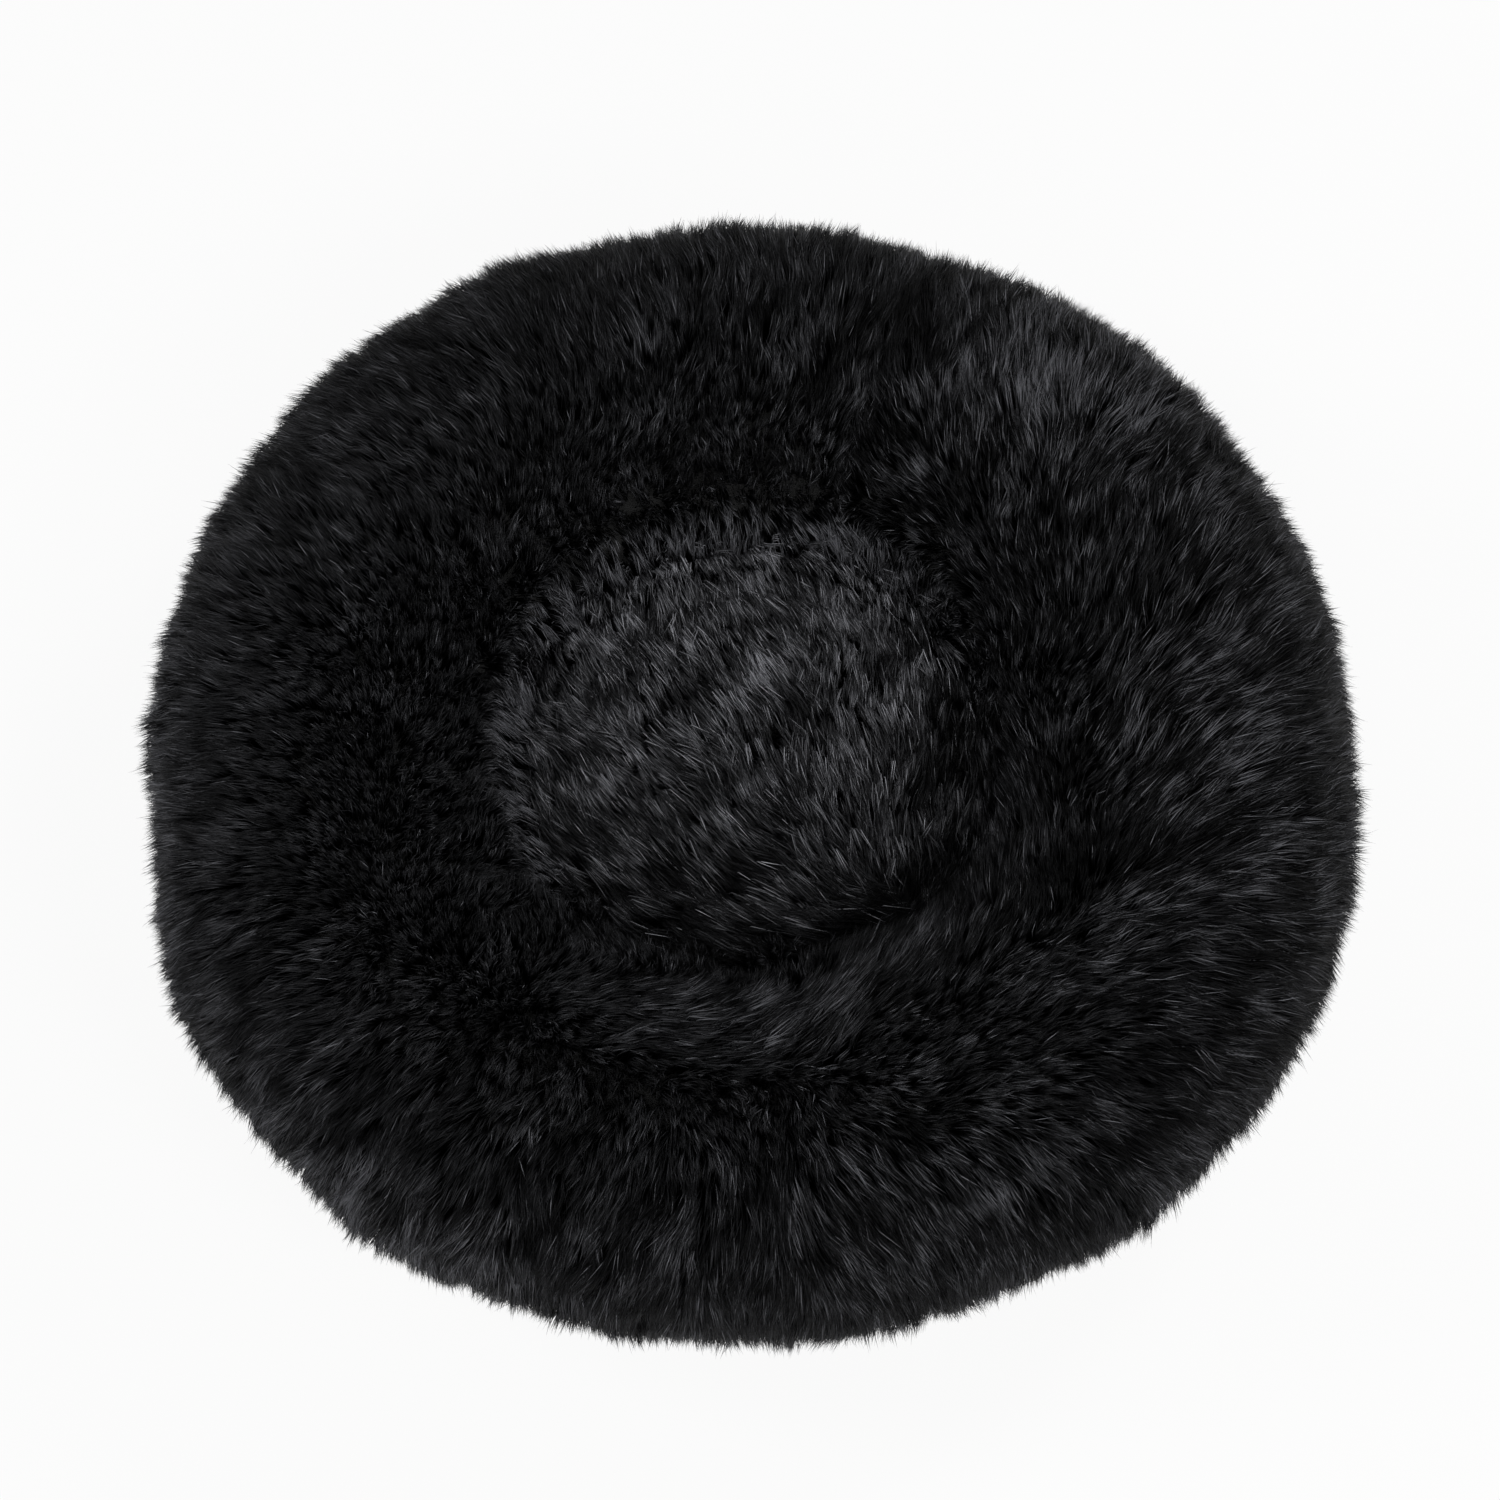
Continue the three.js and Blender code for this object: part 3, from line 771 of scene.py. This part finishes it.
# Painted light and shade on the bolster: angle and climb in degrees, their spreads, and the shift
# Lighter where the nap catches the light, darker in the dimple, the valley and the crease by the well,
# where shade falls
PAINTED_SHADING_REGIONS = (
    (47, 84, 13, 26, 0.28),
    (350, 92, 10, 16, 0.17),
    (14, 100, 12, 22, -0.02),
    (268, 116, 16, 12, 0.05),
    (288, 50, 12, 22, 0.07),
    (325, 62, 14, 18, -0.05),
    (186, 20, 26, 28, 0.26),
    (236, 12, 16, 20, 0.26),
    (190, 95, 26, 36, 0.04),
    (327, 114, 8, 11, -0.18),
    (68, 84, 7, 26, -0.14),
    (290, 160, 36, 12, -0.12),
)

# The side where the light shows every strand, and how the painted shading and this side change the contrast
# Painted light: that side gets more contrast and a darker shade, the side across from it less contrast and
# a lighter shade
LIT_SIDE = radians(10)
LIT_SIDE_RELIEF = 0.3
LIT_SIDE_PAINTED_SHIFT = -0.06
RELIEF_BY_PAINTED_SHADING = 3
PAINTED_SHADING_CLIP = (-0.12, 0.2)


def region(angle, climb, at, up, wide, tall, peak):
    """A value over the bolster that is the peak at a region's middle and fades around it."""
    across = peak * bell(turn_between(angle, radians(at)), radians(wide))
    return across * bell(climb - radians(up), radians(tall))


def bolster_lay(angle, climb):
    total = np.full(len(angle), WEIGHT_ELSEWHERE)
    go_round, go_up = (total * lay for lay in LAY_ELSEWHERE)
    for *place, region_round, region_up in LAY_REGIONS:
        near = region(angle, climb, *place)
        go_round += near * region_round
        go_up += near * region_up
        total += near
    return go_round / total, go_up / total


# Painted light and shade over the bolster, from the regions above
def bolster_painted_shading(angle, climb):
    return sum(region(angle, climb, *place) for place in PAINTED_SHADING_REGIONS)


# The well's fur is combed towards one point of its rim, also up the wall's foot on its far side
WELL_DRAIN = (0.0665, -0.0990)
DRAIN_REACH = 0.055
DRAWN_SHARE = 0.5
DRAWN_MORE_SHARE = 0.35
WELL_COMB = (0.14, -0.99)
WELL_LEAN = 0.88
WELL_FAR_SIDE = radians(125)
WALL_FOOT = radians(147)
WALL_FOOT_BLEND = radians(17)
# Painted light: the fur at the wall's foot on the far side is made lighter, like the well's
WALL_FOOT_PAINTED_LIGHT = 0.28


def far_side_of_well(angle):
    return smooth(0.5 + 0.9 * np.cos(angle - WELL_FAR_SIDE))


def well_lay(point, normal):
    """The way in which the well's fur lies, along the cloth."""
    towards = np.array(WELL_DRAIN) - point[:, :2]
    near_drain = bell(norm(towards, axis=1), DRAIN_REACH)
    drawn = (DRAWN_SHARE + DRAWN_MORE_SHARE * near_drain)[:, None]
    comb = unit(drawn * unit(towards) + (1 - drawn) * np.array(WELL_COMB)) * WELL_LEAN
    lay = np.concatenate([comb, np.zeros((len(comb), 1))], 1)
    return lay - normal * (lay * normal).sum(1, keepdims=True)


def clump_count(area):
    return int(area / (CLUMP_SPACING / sqrt(QUICK_SHARE)) ** 2)


def grow_bolster(name, first, last, sectors):
    edges = np.linspace(first, last, sectors + 1)
    widest = RING_RADIUS + HALF_HEIGHT
    for number, (low, high) in enumerate(zip(edges[:-1], edges[1:])):
        tries = clump_count((high - low) * widest * (WELL_CLIMB - BASE_CLIMB) * HALF_HEIGHT)
        angle = RNG.uniform(low, high, tries)
        climb = RNG.uniform(BASE_CLIMB + SEAM_MARGIN, WELL_CLIMB - SEAM_MARGIN, tries)
        kept = RNG.uniform(0, widest, tries) < RING_RADIUS + HALF_HEIGHT * np.cos(climb)
        angle, climb = angle[kept], climb[kept]
        point, normal, round_way, climb_way = BOLSTER.frame(angle, climb)
        go_round, go_up = bolster_lay(angle, climb)
        lay = round_way * go_round[:, None] + climb_way * go_up[:, None]
        foot = smooth((climb - WALL_FOOT) / WALL_FOOT_BLEND) * far_side_of_well(angle)
        lay = lay + (well_lay(point, normal) - lay) * foot[:, None]
        shortest = np.where(climb > pi / 2, SHORTEST_AT_WELL, SHORTEST_AT_BASE)
        pile = np.maximum(bolster_pile(climb), shortest)
        # Painted light and shade: by region, and lighter at the wall's foot
        painted_shading = bolster_painted_shading(angle, climb) + WALL_FOOT_PAINTED_LIGHT * foot
        # Painted light: contrast and shade change with the turn towards the lit side
        lit_side = np.cos(angle - LIT_SIDE) * (1 - foot)
        relief = 1 + RELIEF_BY_PAINTED_SHADING * np.clip(painted_shading, *PAINTED_SHADING_CLIP) + LIT_SIDE_RELIEF * lit_side
        painted_shading = painted_shading + LIT_SIDE_PAINTED_SHIFT * lit_side
        strands = fur_strands(point, normal, lay, pile, 1.0, 0.0, painted_shading, relief)
        strands_object(f"{name}_{number + 1:02d}", *strands, FUR, "fur")


# Growth in the well, by share of the way to its rim, with more over the parting on its far side
WELL_GROWTH_END = 0.98
PARTING_COVER_SHARE = 0.25
PARTING_AT = (0.8, 0.07)
PARTING_START = 0.5
PARTING_TURN_SPREAD = 1.0
WELL_SWING_SHARE = 0.6
WELL_RELIEF = 0.85
FAR_SIDE_TANGLE = 0.05
PARTING_TANGLE = 0.12

# Painted light and shade in the well: a shift everywhere, lighter on the far side, darker in the near rim's
# shade,
# and by region: angle and spread in degrees, the shares where it starts and over which it blends, and the
# shift
WELL_TONE = 0.03
FAR_SIDE_PAINTED_LIGHT = 0.06
NEAR_RIM_PAINTED_SHADE = -0.28
NEAR_RIM_START = 0.45
NEAR_RIM_BLEND = 0.5
WELL_PAINTED_SHADING_REGIONS = (
    (232, 55, 0.3, 0.4, -0.04),
    (15, 40, 0, 0.5, 0.07),
    (85, 40, 0, 0.5, 0.05),
)


def well_painted_shading(angle, share):
    far_side = far_side_of_well(angle)
    near_rim = smooth((share - NEAR_RIM_START) / NEAR_RIM_BLEND)
    painted_shading = WELL_TONE + FAR_SIDE_PAINTED_LIGHT * far_side + NEAR_RIM_PAINTED_SHADE * near_rim * (1 - far_side)
    for at, spread, start, blend, change in WELL_PAINTED_SHADING_REGIONS:
        near = bell(turn_between(angle, radians(at)), radians(spread))
        painted_shading += change * (near * smooth((share - start) / blend))
    return painted_shading


def grow_well(name, parts):
    tries = clump_count(pi * WELL_RADIUS**2)
    share = np.sqrt(RNG.uniform(0, WELL_GROWTH_END, tries))
    angle = RNG.uniform(0, tau, tries)
    covering = int(tries * PARTING_COVER_SHARE)
    over_parting = np.clip(RNG.normal(*PARTING_AT, covering), PARTING_START, WELL_GROWTH_END)
    share = np.append(share, over_parting)
    angle = np.append(angle, WELL_FAR_SIDE + RNG.normal(0, PARTING_TURN_SPREAD, covering))
    second = np.arange(len(share)) >= tries
    point, normal, _, _ = WELL.frame(angle, share)
    lay = well_lay(point, normal)
    pile = np.maximum(well_pile(share), SHORTEST_AT_WELL)
    tangle = FAR_SIDE_TANGLE * far_side_of_well(angle) + PARTING_TANGLE * second
    # Painted light and shade over the well
    painted_shading = well_painted_shading(angle, share)
    strands = fur_strands(point, normal, lay, pile, WELL_SWING_SHARE, tangle, painted_shading, WELL_RELIEF)
    for number, part in enumerate(np.array_split(np.arange(len(strands[0])), parts)):
        piece = (values[part] for values in strands)
        strands_object(f"{name}_{number + 1:02d}", *piece, WELL_FUR_PAINTED_LIGHTER, "well_fur")


# The ring's two covers: the angles of their seams, and how many pieces their fur is made in
COVERS = (
    ("left", BACK_SEAM, FRONT_SEAM, 12),
    ("right", FRONT_SEAM - tau, BACK_SEAM, 11),
)
WELL_FUR_PIECES = 3


def build_covers():
    for which, first, last, _ in COVERS:
        angle, climb = grid_of(np.linspace(first, last, AROUND // 2), CLIMBS)
        cloth = (BOLSTER.at(angle, climb), grid_faces(*angle.shape, False))
        made = cloth_object(f"bolster_cloth_{which}", *cloth, CLOTH_THICKNESS, BACKING_CLOTH, "fur")
        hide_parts(f"bolster_cover_{which}")
    faces = grid_faces(AROUND, WELL_RINGS, True)[:, ::-1]
    made = cloth_object("well_cloth", WELL.points, faces, CLOTH_THICKNESS, BACKING_CLOTH, "well_fur")
    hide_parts("well_fur_panel")
    for which, first, last, pieces in COVERS:
        grow_bolster(f"fur_{which}", first, last, pieces)
    grow_well("fur_well", WELL_FUR_PIECES)


# Inserts: the stuffed ring and the stuffed cushion, each in its bag

RING_CLIMBS = 84
RING_ROUNDING = 3
CUSHION_AROUND = 120
CUSHION_RISES = 72
CUSHION_UNDER = 40
CUSHION_CORE = (0, -0.008, 0.035)
CUSHION_FIRST = 0.002
CUSHION_LAST_RISE = radians(87)
CUSHION_OUTSIDE = 0.5
CHANNEL_CLEAR = 0.014
INSERT_ROOM = 0.002
BAG_SKIN = 0.0005
BAG_UNEVEN = 0.00015
BAG_LOWEST = BASE_RIM_HEIGHT + 0.0002
STUFFING_UNEVEN = 0.0006
STUFFING_LOWEST = BAG_LOWEST + 0.0022
WRINKLES = Waves((0.03, 1.0), (0.012, 0.5))


def channel_rise(places, wider=0.0):
    """How high the zip's channel reaches over places of the base."""
    across = CHANNEL_MOUTH + wider - np.abs(places[..., 1] - ZIP_OFFSET)
    along = CHANNEL_REACH + CHANNEL_END + wider - np.abs(places[..., 0])
    share = np.minimum(across / (CHANNEL_MOUTH - CHANNEL_ROOF), along / CHANNEL_END)
    return CHANNEL_DEPTH * np.clip(share, 0, 1)


def over_channel(points, lowest):
    points[..., 2] = np.maximum(points[..., 2], channel_rise(points, CHANNEL_CLEAR) + lowest)
    return points


def seen_from(tree, starts, middles):
    """Where rays from outside meet a solid on their way to its middle."""
    found = middles.copy()
    for index in np.ndindex(starts.shape[:-1]):
        start, middle = Vector(starts[index]), Vector(middles[index])
        hit = tree.ray_cast(start, middle - start)[0]
        if hit is not None:
            found[index] = hit
    return found


def ring_insert(node, uneven):
    angle, climb = grid_of(ANGLES[::2], even_turns(RING_CLIMBS))
    middle = tube_point(angle, climb, 0)
    points = seen_from(tree_of(node), tube_point(angle, climb, RAY_REACH), middle)
    reach = norm(points - middle, axis=-1)
    for _ in range(RING_ROUNDING):
        reach = evened(evened(reach, 0), 1)
    reach -= uneven * WRINKLES.at(points, 1)
    climb = turn_between(climb, 0)
    covered = (climb > BASE_CLIMB) & (climb < WELL_CLIMB)
    limit = norm(BOLSTER.at(angle, climb) - middle, axis=-1) - CLOTH_THICKNESS - INSERT_ROOM
    reach = np.where(covered, np.minimum(reach, limit), reach)
    return tube_point(angle, climb, reach), grid_faces(*angle.shape, True, True).tolist()


def cushion_insert(node, uneven):
    """Rays go out from a core: evenly spaced on the underside, by even angles above it."""
    low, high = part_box(node)
    under = np.linspace(CUSHION_FIRST, (high[0] - low[0]) / 2, CUSHION_UNDER)
    below = -np.arctan((CUSHION_CORE[2] - low[2]) / under)
    above = np.linspace(below[-1], CUSHION_LAST_RISE, CUSHION_RISES - CUSHION_UNDER + 1)
    rises = np.concatenate([below, above[1:]])
    turn, rise = grid_of(even_turns(CUSHION_AROUND), rises)
    core = np.full((*turn.shape, 3), CUSHION_CORE)
    way = np.stack([np.cos(turn) * np.cos(rise), np.sin(turn) * np.cos(rise), np.sin(rise)], -1)
    points = seen_from(tree_of(node), core + way * CUSHION_OUTSIDE, core)
    reach = norm(points - core, axis=-1) - uneven * WRINKLES.at(points, 1)
    faces = grid_faces(*turn.shape, True).tolist()
    faces.append([i * CUSHION_RISES for i in reversed(range(CUSHION_AROUND))])
    faces.append([(i + 1) * CUSHION_RISES - 1 for i in range(CUSHION_AROUND)])
    return core + way * reach[..., None], faces


def insert_object(name, node, shape, uneven, lowest, finish, slot):
    points, faces = shape(node, uneven)
    made = facing_out(mesh_object(name, over_channel(points, lowest), faces, finish))
    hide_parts(node)
    return made


def build_inserts():
    for part, shape in (("bolster", ring_insert), ("cushion", cushion_insert)):
        bag = (shape, BAG_UNEVEN, BAG_LOWEST, NONWOVEN, "nonwoven")
        made = insert_object(f"{part}_bag", f"{part}_liner", *bag)
        thicken(made, BAG_SKIN)
        stuffing = (shape, STUFFING_UNEVEN, STUFFING_LOWEST, FIBRE, "fibre")
        insert_object(f"{part}_stuffing", f"{part}_filling", *stuffing)


# Base: its cloth, and raised dots of rubber on it

SHEET_STEP = 0.008
SHEET_MERGE = 1e-5
PUCKERS = 56
PUCKER_HEIGHT = 0.0009
PUCKERS_START = 0.205
PUCKERS_BLEND = 0.035
GRIP_SPACING = 0.01
GRIP_RADIUS = 0.0014
GRIP_SIDES = 8
GRIP_EDGE = 0.226
GRIP_MARGIN = 0.012
GRIP_SET_FORWARD = 0.004
# A dot's rings: shares of its radius, and their heights
GRIP_RINGS = ((1.0, BASE_SKIM + 0.0003), (0.9, 0.0003), (0.55, 0.00005))


def polar(places):
    """How far places are from the bed's middle, and their angles round it."""
    x, y = places[:, 0], places[:, 1]
    return np.hypot(x, y), np.arctan2(y, x)


def even_cells(rim, ends, sides):
    """Places inside the rim, in rows that also run along the zip's boxes."""
    reach = RING_RADIUS + HALF_HEIGHT
    even = np.arange(-reach, reach, SHEET_STEP)
    x = np.unique([*even, *(way * end for end in ends for way in (-1, 1))])
    y = np.unique([*even, *(ZIP_OFFSET + way * side for side in sides for way in (-1, 1))])
    cells = np.stack(grid_of(x, y), -1).reshape(-1, 2)
    rim_far, rim_way = polar(rim)
    cell_far, cell_way = polar(cells)
    limit = np.interp(cell_way, rim_way, rim_far, period=tau)
    return cells[cell_far < limit - SHEET_STEP / 3]


def base_sheet():
    """Points and triangles of the base cloth, with edges along the zip's channel and its slot."""
    rim = BOLSTER.points[:, 0, :2]
    slot_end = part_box("zip_tape_front")[1][0]
    ends = (slot_end, CHANNEL_REACH, CHANNEL_REACH + CHANNEL_END)
    sides = (SLOT_HALF, CHANNEL_ROOF, CHANNEL_MOUTH)
    boxes = [
        np.array([(-end, -side), (end, -side), (end, side), (-end, side)]) + (0, ZIP_OFFSET)
        for end, side in zip(ends, sides)
    ]
    places = np.concatenate([rim, *boxes, even_cells(rim, ends, sides)])
    firsts = range(len(rim), len(rim) + 4 * len(boxes), 4)
    edges = [(first + i, first + (i + 1) % 4) for first in firsts for i in range(4)]
    outline = [list(range(len(rim)))]
    corners = [Vector(place) for place in places]
    found, _, faces, origins, _, _ = delaunay_2d_cdt(corners, edges, outline, 1, SHEET_MERGE)
    flat = np.array([place[:] for place in found])
    at_rim = np.array([any(origin < len(rim) for origin in here) for here in origins])
    faces = np.array(faces)
    middle = flat[faces].mean(1)
    in_slot = (np.abs(middle[:, 0]) < slot_end) & (np.abs(middle[:, 1] - ZIP_OFFSET) < SLOT_HALF)
    far, turn = polar(flat)
    near_rim = smooth((far - PUCKERS_START) / PUCKERS_BLEND)
    puckers = PUCKER_HEIGHT * near_rim * (0.5 + 0.5 * np.cos(PUCKERS * turn))
    heights = np.where(at_rim, BASE_RIM_HEIGHT, BASE_SKIM + channel_rise(flat) + puckers)
    return np.column_stack([flat, heights]), faces[~in_slot][:, ::-1]


def build_base():
    made = cloth_object("base_cloth", *base_sheet(), BASE_CLOTH_THICKNESS, BASE_CLOTH, "base_cloth")
    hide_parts("base_panel")
    build_grip()


def grip_places():
    """Offset rows inside the rim, clear of the zip's channel."""
    columns = np.arange(-GRIP_EDGE, GRIP_EDGE, GRIP_SPACING)
    rows = np.arange(-GRIP_EDGE, GRIP_EDGE, GRIP_SPACING * sqrt(3) / 2)
    places = np.array([(x + GRIP_SPACING / 2 * (i % 2), y) for i, y in enumerate(rows) for x in columns])
    apart = GRIP_RADIUS * 2
    beside = np.abs(places[:, 1] - ZIP_OFFSET) > CHANNEL_MOUTH + apart
    beyond = np.abs(places[:, 0]) > CHANNEL_REACH + CHANNEL_END + apart
    inside = polar(places + (0, GRIP_SET_FORWARD))[0] < GRIP_EDGE - GRIP_MARGIN
    return places[inside & (beside | beyond)]


def build_grip():
    turns = even_turns(GRIP_SIDES)
    circle = np.stack([np.cos(turns), np.sin(turns)], 1) * GRIP_RADIUS
    points, faces = [], []
    for place in grip_places():
        first = len(points)
        for share, height in GRIP_RINGS:
            points += [(*(place + corner * share), height) for corner in circle]
        points.append((*place, 0.0))
        faces += (grid_faces(len(GRIP_RINGS), GRIP_SIDES, False, True) + first).tolist()
        last = first + GRIP_SIDES * (len(GRIP_RINGS) - 1)
        tip = last + GRIP_SIDES
        faces += [[last + s, last + (s + 1) % GRIP_SIDES, tip] for s in range(GRIP_SIDES)]
        faces.append([first + s for s in range(GRIP_SIDES)])
    facing_out(mesh_object("base_grip", points, faces, GRIP))


# Zip

COIL_PITCH = 0.0015
COIL_WIRE = 0.0003
COIL_HEAD = 0.00055
COIL_STEPS = 10
COIL_SIDES = 5
GUARD_HALF = 0.0095
GUARD_THICKNESS = 0.0004
GUARD_OVER_SLIDER = 0.0006
GUARD_STEPS = 40
STITCH_ROWS = (0.0084, 0.0124)
STITCH_FROM_START = 0.002
STITCH_FROM_END = 0.003
STITCH_PITCH = 0.0032
STITCH_LENGTH = 0.0024
STITCH_RADIUS = 0.00024
STITCH_SIDES = 6
# A stitch's points: shares of its length, how far they stand over the tape, and shares of its radius
STITCH_POINTS = (
    (0, 0.2, 0.5, 0.8, 1),
    (0.0002, -0.00008, -0.00012, -0.00008, 0.0002),
    (0.5, 1, 1, 1, 0.5),
)
METAL_NODES = ("zip_slider", "zip_pull", "zip_top", "zip_bottom")
METAL_EDGE = 0.0002


def build_coil(side, node):
    """A coil's loops: their heads come close to the chain's middle."""
    low, high = (Vector(corner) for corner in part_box(node))
    outer = max(abs(low.y - ZIP_OFFSET), abs(high.y - ZIP_OFFSET)) - COIL_WIRE
    inner = COIL_HEAD + COIL_WIRE
    half_height = (high.z - low.z) / 2 - COIL_WIRE
    turns = int((high.x - low.x - 2 * COIL_WIRE) / COIL_PITCH)
    t = np.linspace(0, tau * turns, turns * COIL_STEPS + 1)
    x = (low.x + high.x) / 2 + COIL_PITCH * (t / tau - turns / 2)
    y = ZIP_OFFSET + side * ((outer + inner) / 2 + (outer - inner) / 2 * np.cos(t))
    z = (low.z + high.z) / 2 + half_height * np.sin(t)
    path = np.stack([x, y, z], -1)[None]
    radii = np.full(len(t), COIL_WIRE)
    made = tubes_object(f"{node}_loops", path, radii, COIL_SIDES, (1, 0, 0), NYLON, "zip_nylon")
    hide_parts(node)


def build_guard():
    """A strip of tape behind the chain, so that the inserts don't show through it."""
    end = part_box("zip_tape_front")[1][0]
    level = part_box("zip_slider")[1][2] + GUARD_OVER_SLIDER
    lines = (-GUARD_HALF, 0, GUARD_HALF)
    x, y = grid_of(np.linspace(-end, end, GUARD_STEPS), lines)
    points = np.stack([x, y + ZIP_OFFSET, np.full(x.shape, level)], -1)
    faces = grid_faces(*x.shape, False)[:, ::-1]
    made = cloth_object("zip_guard", points, faces, GUARD_THICKNESS, TAPE, "zip_tape")


def build_stitches():
    """Two rows of stitches along each tape."""
    low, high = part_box("zip_tape_front")
    starts = np.arange(low[0] + STITCH_FROM_START, high[0] - STITCH_FROM_END, STITCH_PITCH)
    share, over, taper = np.array(STITCH_POINTS)
    along = share * STITCH_LENGTH
    paths = [
        np.stack([start + along, np.full(len(along), ZIP_OFFSET + side * off), low[2] + over], -1)
        for off in STITCH_ROWS
        for side in (-1, 1)
        for start in starts
    ]
    look = (STITCH_RADIUS * taper, STITCH_SIDES, (0, 0, 1), TAPE, "zip_tape")
    tubes_object("zip_stitches", np.array(paths), *look)


def finish_node(node, finish):
    node.data.materials.clear()
    node.data.materials.append(finish)
    if finish is METAL:
        soften = node.modifiers.new("edges", "BEVEL")
        soften.width = METAL_EDGE
        soften.segments = 2
        soften.limit_method = "ANGLE"


def build_zip():
    for side, which in ((-1, "front"), (1, "rear")):
        build_coil(side, f"zip_coil_{which}")
    build_guard()
    build_stitches()
    for name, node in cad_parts.items():
        if name.startswith("zip_tape"):
            finish_node(node, TAPE)
        elif name.startswith(METAL_NODES):
            finish_node(node, METAL)


build_covers()
build_inserts()
build_base()
build_zip()


# Light, floor and camera

CAMERA_ELEVATION = radians(62)
CAMERA_DISTANCE = 1.5
PHOTO_SIDE = 1500
FOCAL_PIXELS = 3042
SENSOR = 36
TARGET = Vector((0, 0, TUBE_MIDDLE))
WORLD_STRENGTH = 0.15
LAMP_SIZE = 0.7
LAMPS = (
    ("front_right", (1.2, -1.3, 1.7), 15),
    ("back_right", (1.3, 1.1, 1.6), 15),
    ("left", (-1.8, 0.1, 1.5), 14),
    ("front", (0, -1.8, 1.6), 10),
)
FLOOR_SIZE = 60
# The floor's own white grows by distance from the bed, up to the world's
FLOOR_FADE = {"From Min": 0.7, "From Max": 4.0, "To Min": 0.92, "To Max": 1.0}


def add_camera():
    data = bpy.data.cameras.new("camera")
    data.sensor_width = SENSOR
    data.lens = SENSOR * FOCAL_PIXELS / PHOTO_SIDE
    back = Vector((0, -cos(CAMERA_ELEVATION), sin(CAMERA_ELEVATION)))
    made = add_object("camera", data, TARGET + back * CAMERA_DISTANCE)
    made.rotation_euler = (pi / 2 - CAMERA_ELEVATION, 0, 0)
    SCENE.camera = made


def add_lamp(name, place, power):
    data = bpy.data.lights.new(name, "AREA")
    data.shape = "DISK"
    data.size = LAMP_SIZE
    data.energy = power
    made = add_object(name, data, place)
    made.rotation_euler = (TARGET - Vector(place)).to_track_quat("-Z", "Y").to_euler()


def background_share(tree):
    """1 where the camera, a reflection or glass sees the surface, 0 for the light that it gives."""
    path = add_node(tree, "LightPath")
    value = path["Is Camera Ray"]
    for other in ("Is Glossy Ray", "Is Transmission Ray"):
        value = computed(tree, "MAXIMUM", value, path[other])
    return value


def add_world():
    made = bpy.data.worlds.new("world")
    SCENE.world = made
    made.use_nodes = True
    tree = made.node_tree
    shine = tree.nodes["Background"].inputs
    level = add_node(tree, "Mix", {0: background_share(tree), 2: WORLD_STRENGTH, 3: 1.0})[0]
    tree.links.new(level, shine["Strength"])
    shine["Color"].default_value = (1, 1, 1, 1)


def add_floor():
    bpy.ops.mesh.primitive_plane_add(size=FLOOR_SIZE)
    made = bpy.context.object
    made.name = "floor"
    finish, tree, shader = material("floor", (0.9, 0.9, 0.9), 0.9)
    shader.inputs["Specular IOR Level"].default_value = 0.0
    place = add_node(tree, "NewGeometry")["Position"]
    far = add_node(tree, "VectorMath", {0: place}, operation="LENGTH")["Value"]
    fade = add_node(tree, "MapRange", {"Value": far, **FLOOR_FADE})[0]
    share = computed(tree, "MULTIPLY", background_share(tree), fade)
    white = add_node(tree, "Emission")[0]
    both = add_node(tree, "MixShader", {0: share, 1: shader.outputs[0], 2: white})[0]
    tree.links.new(both, tree.nodes["Material Output"].inputs["Surface"])
    made.data.materials.append(finish)


SCENE.view_settings.view_transform = "Standard"
add_camera()
add_world()
for lamp in LAMPS:
    add_lamp(*lamp)
add_floor()
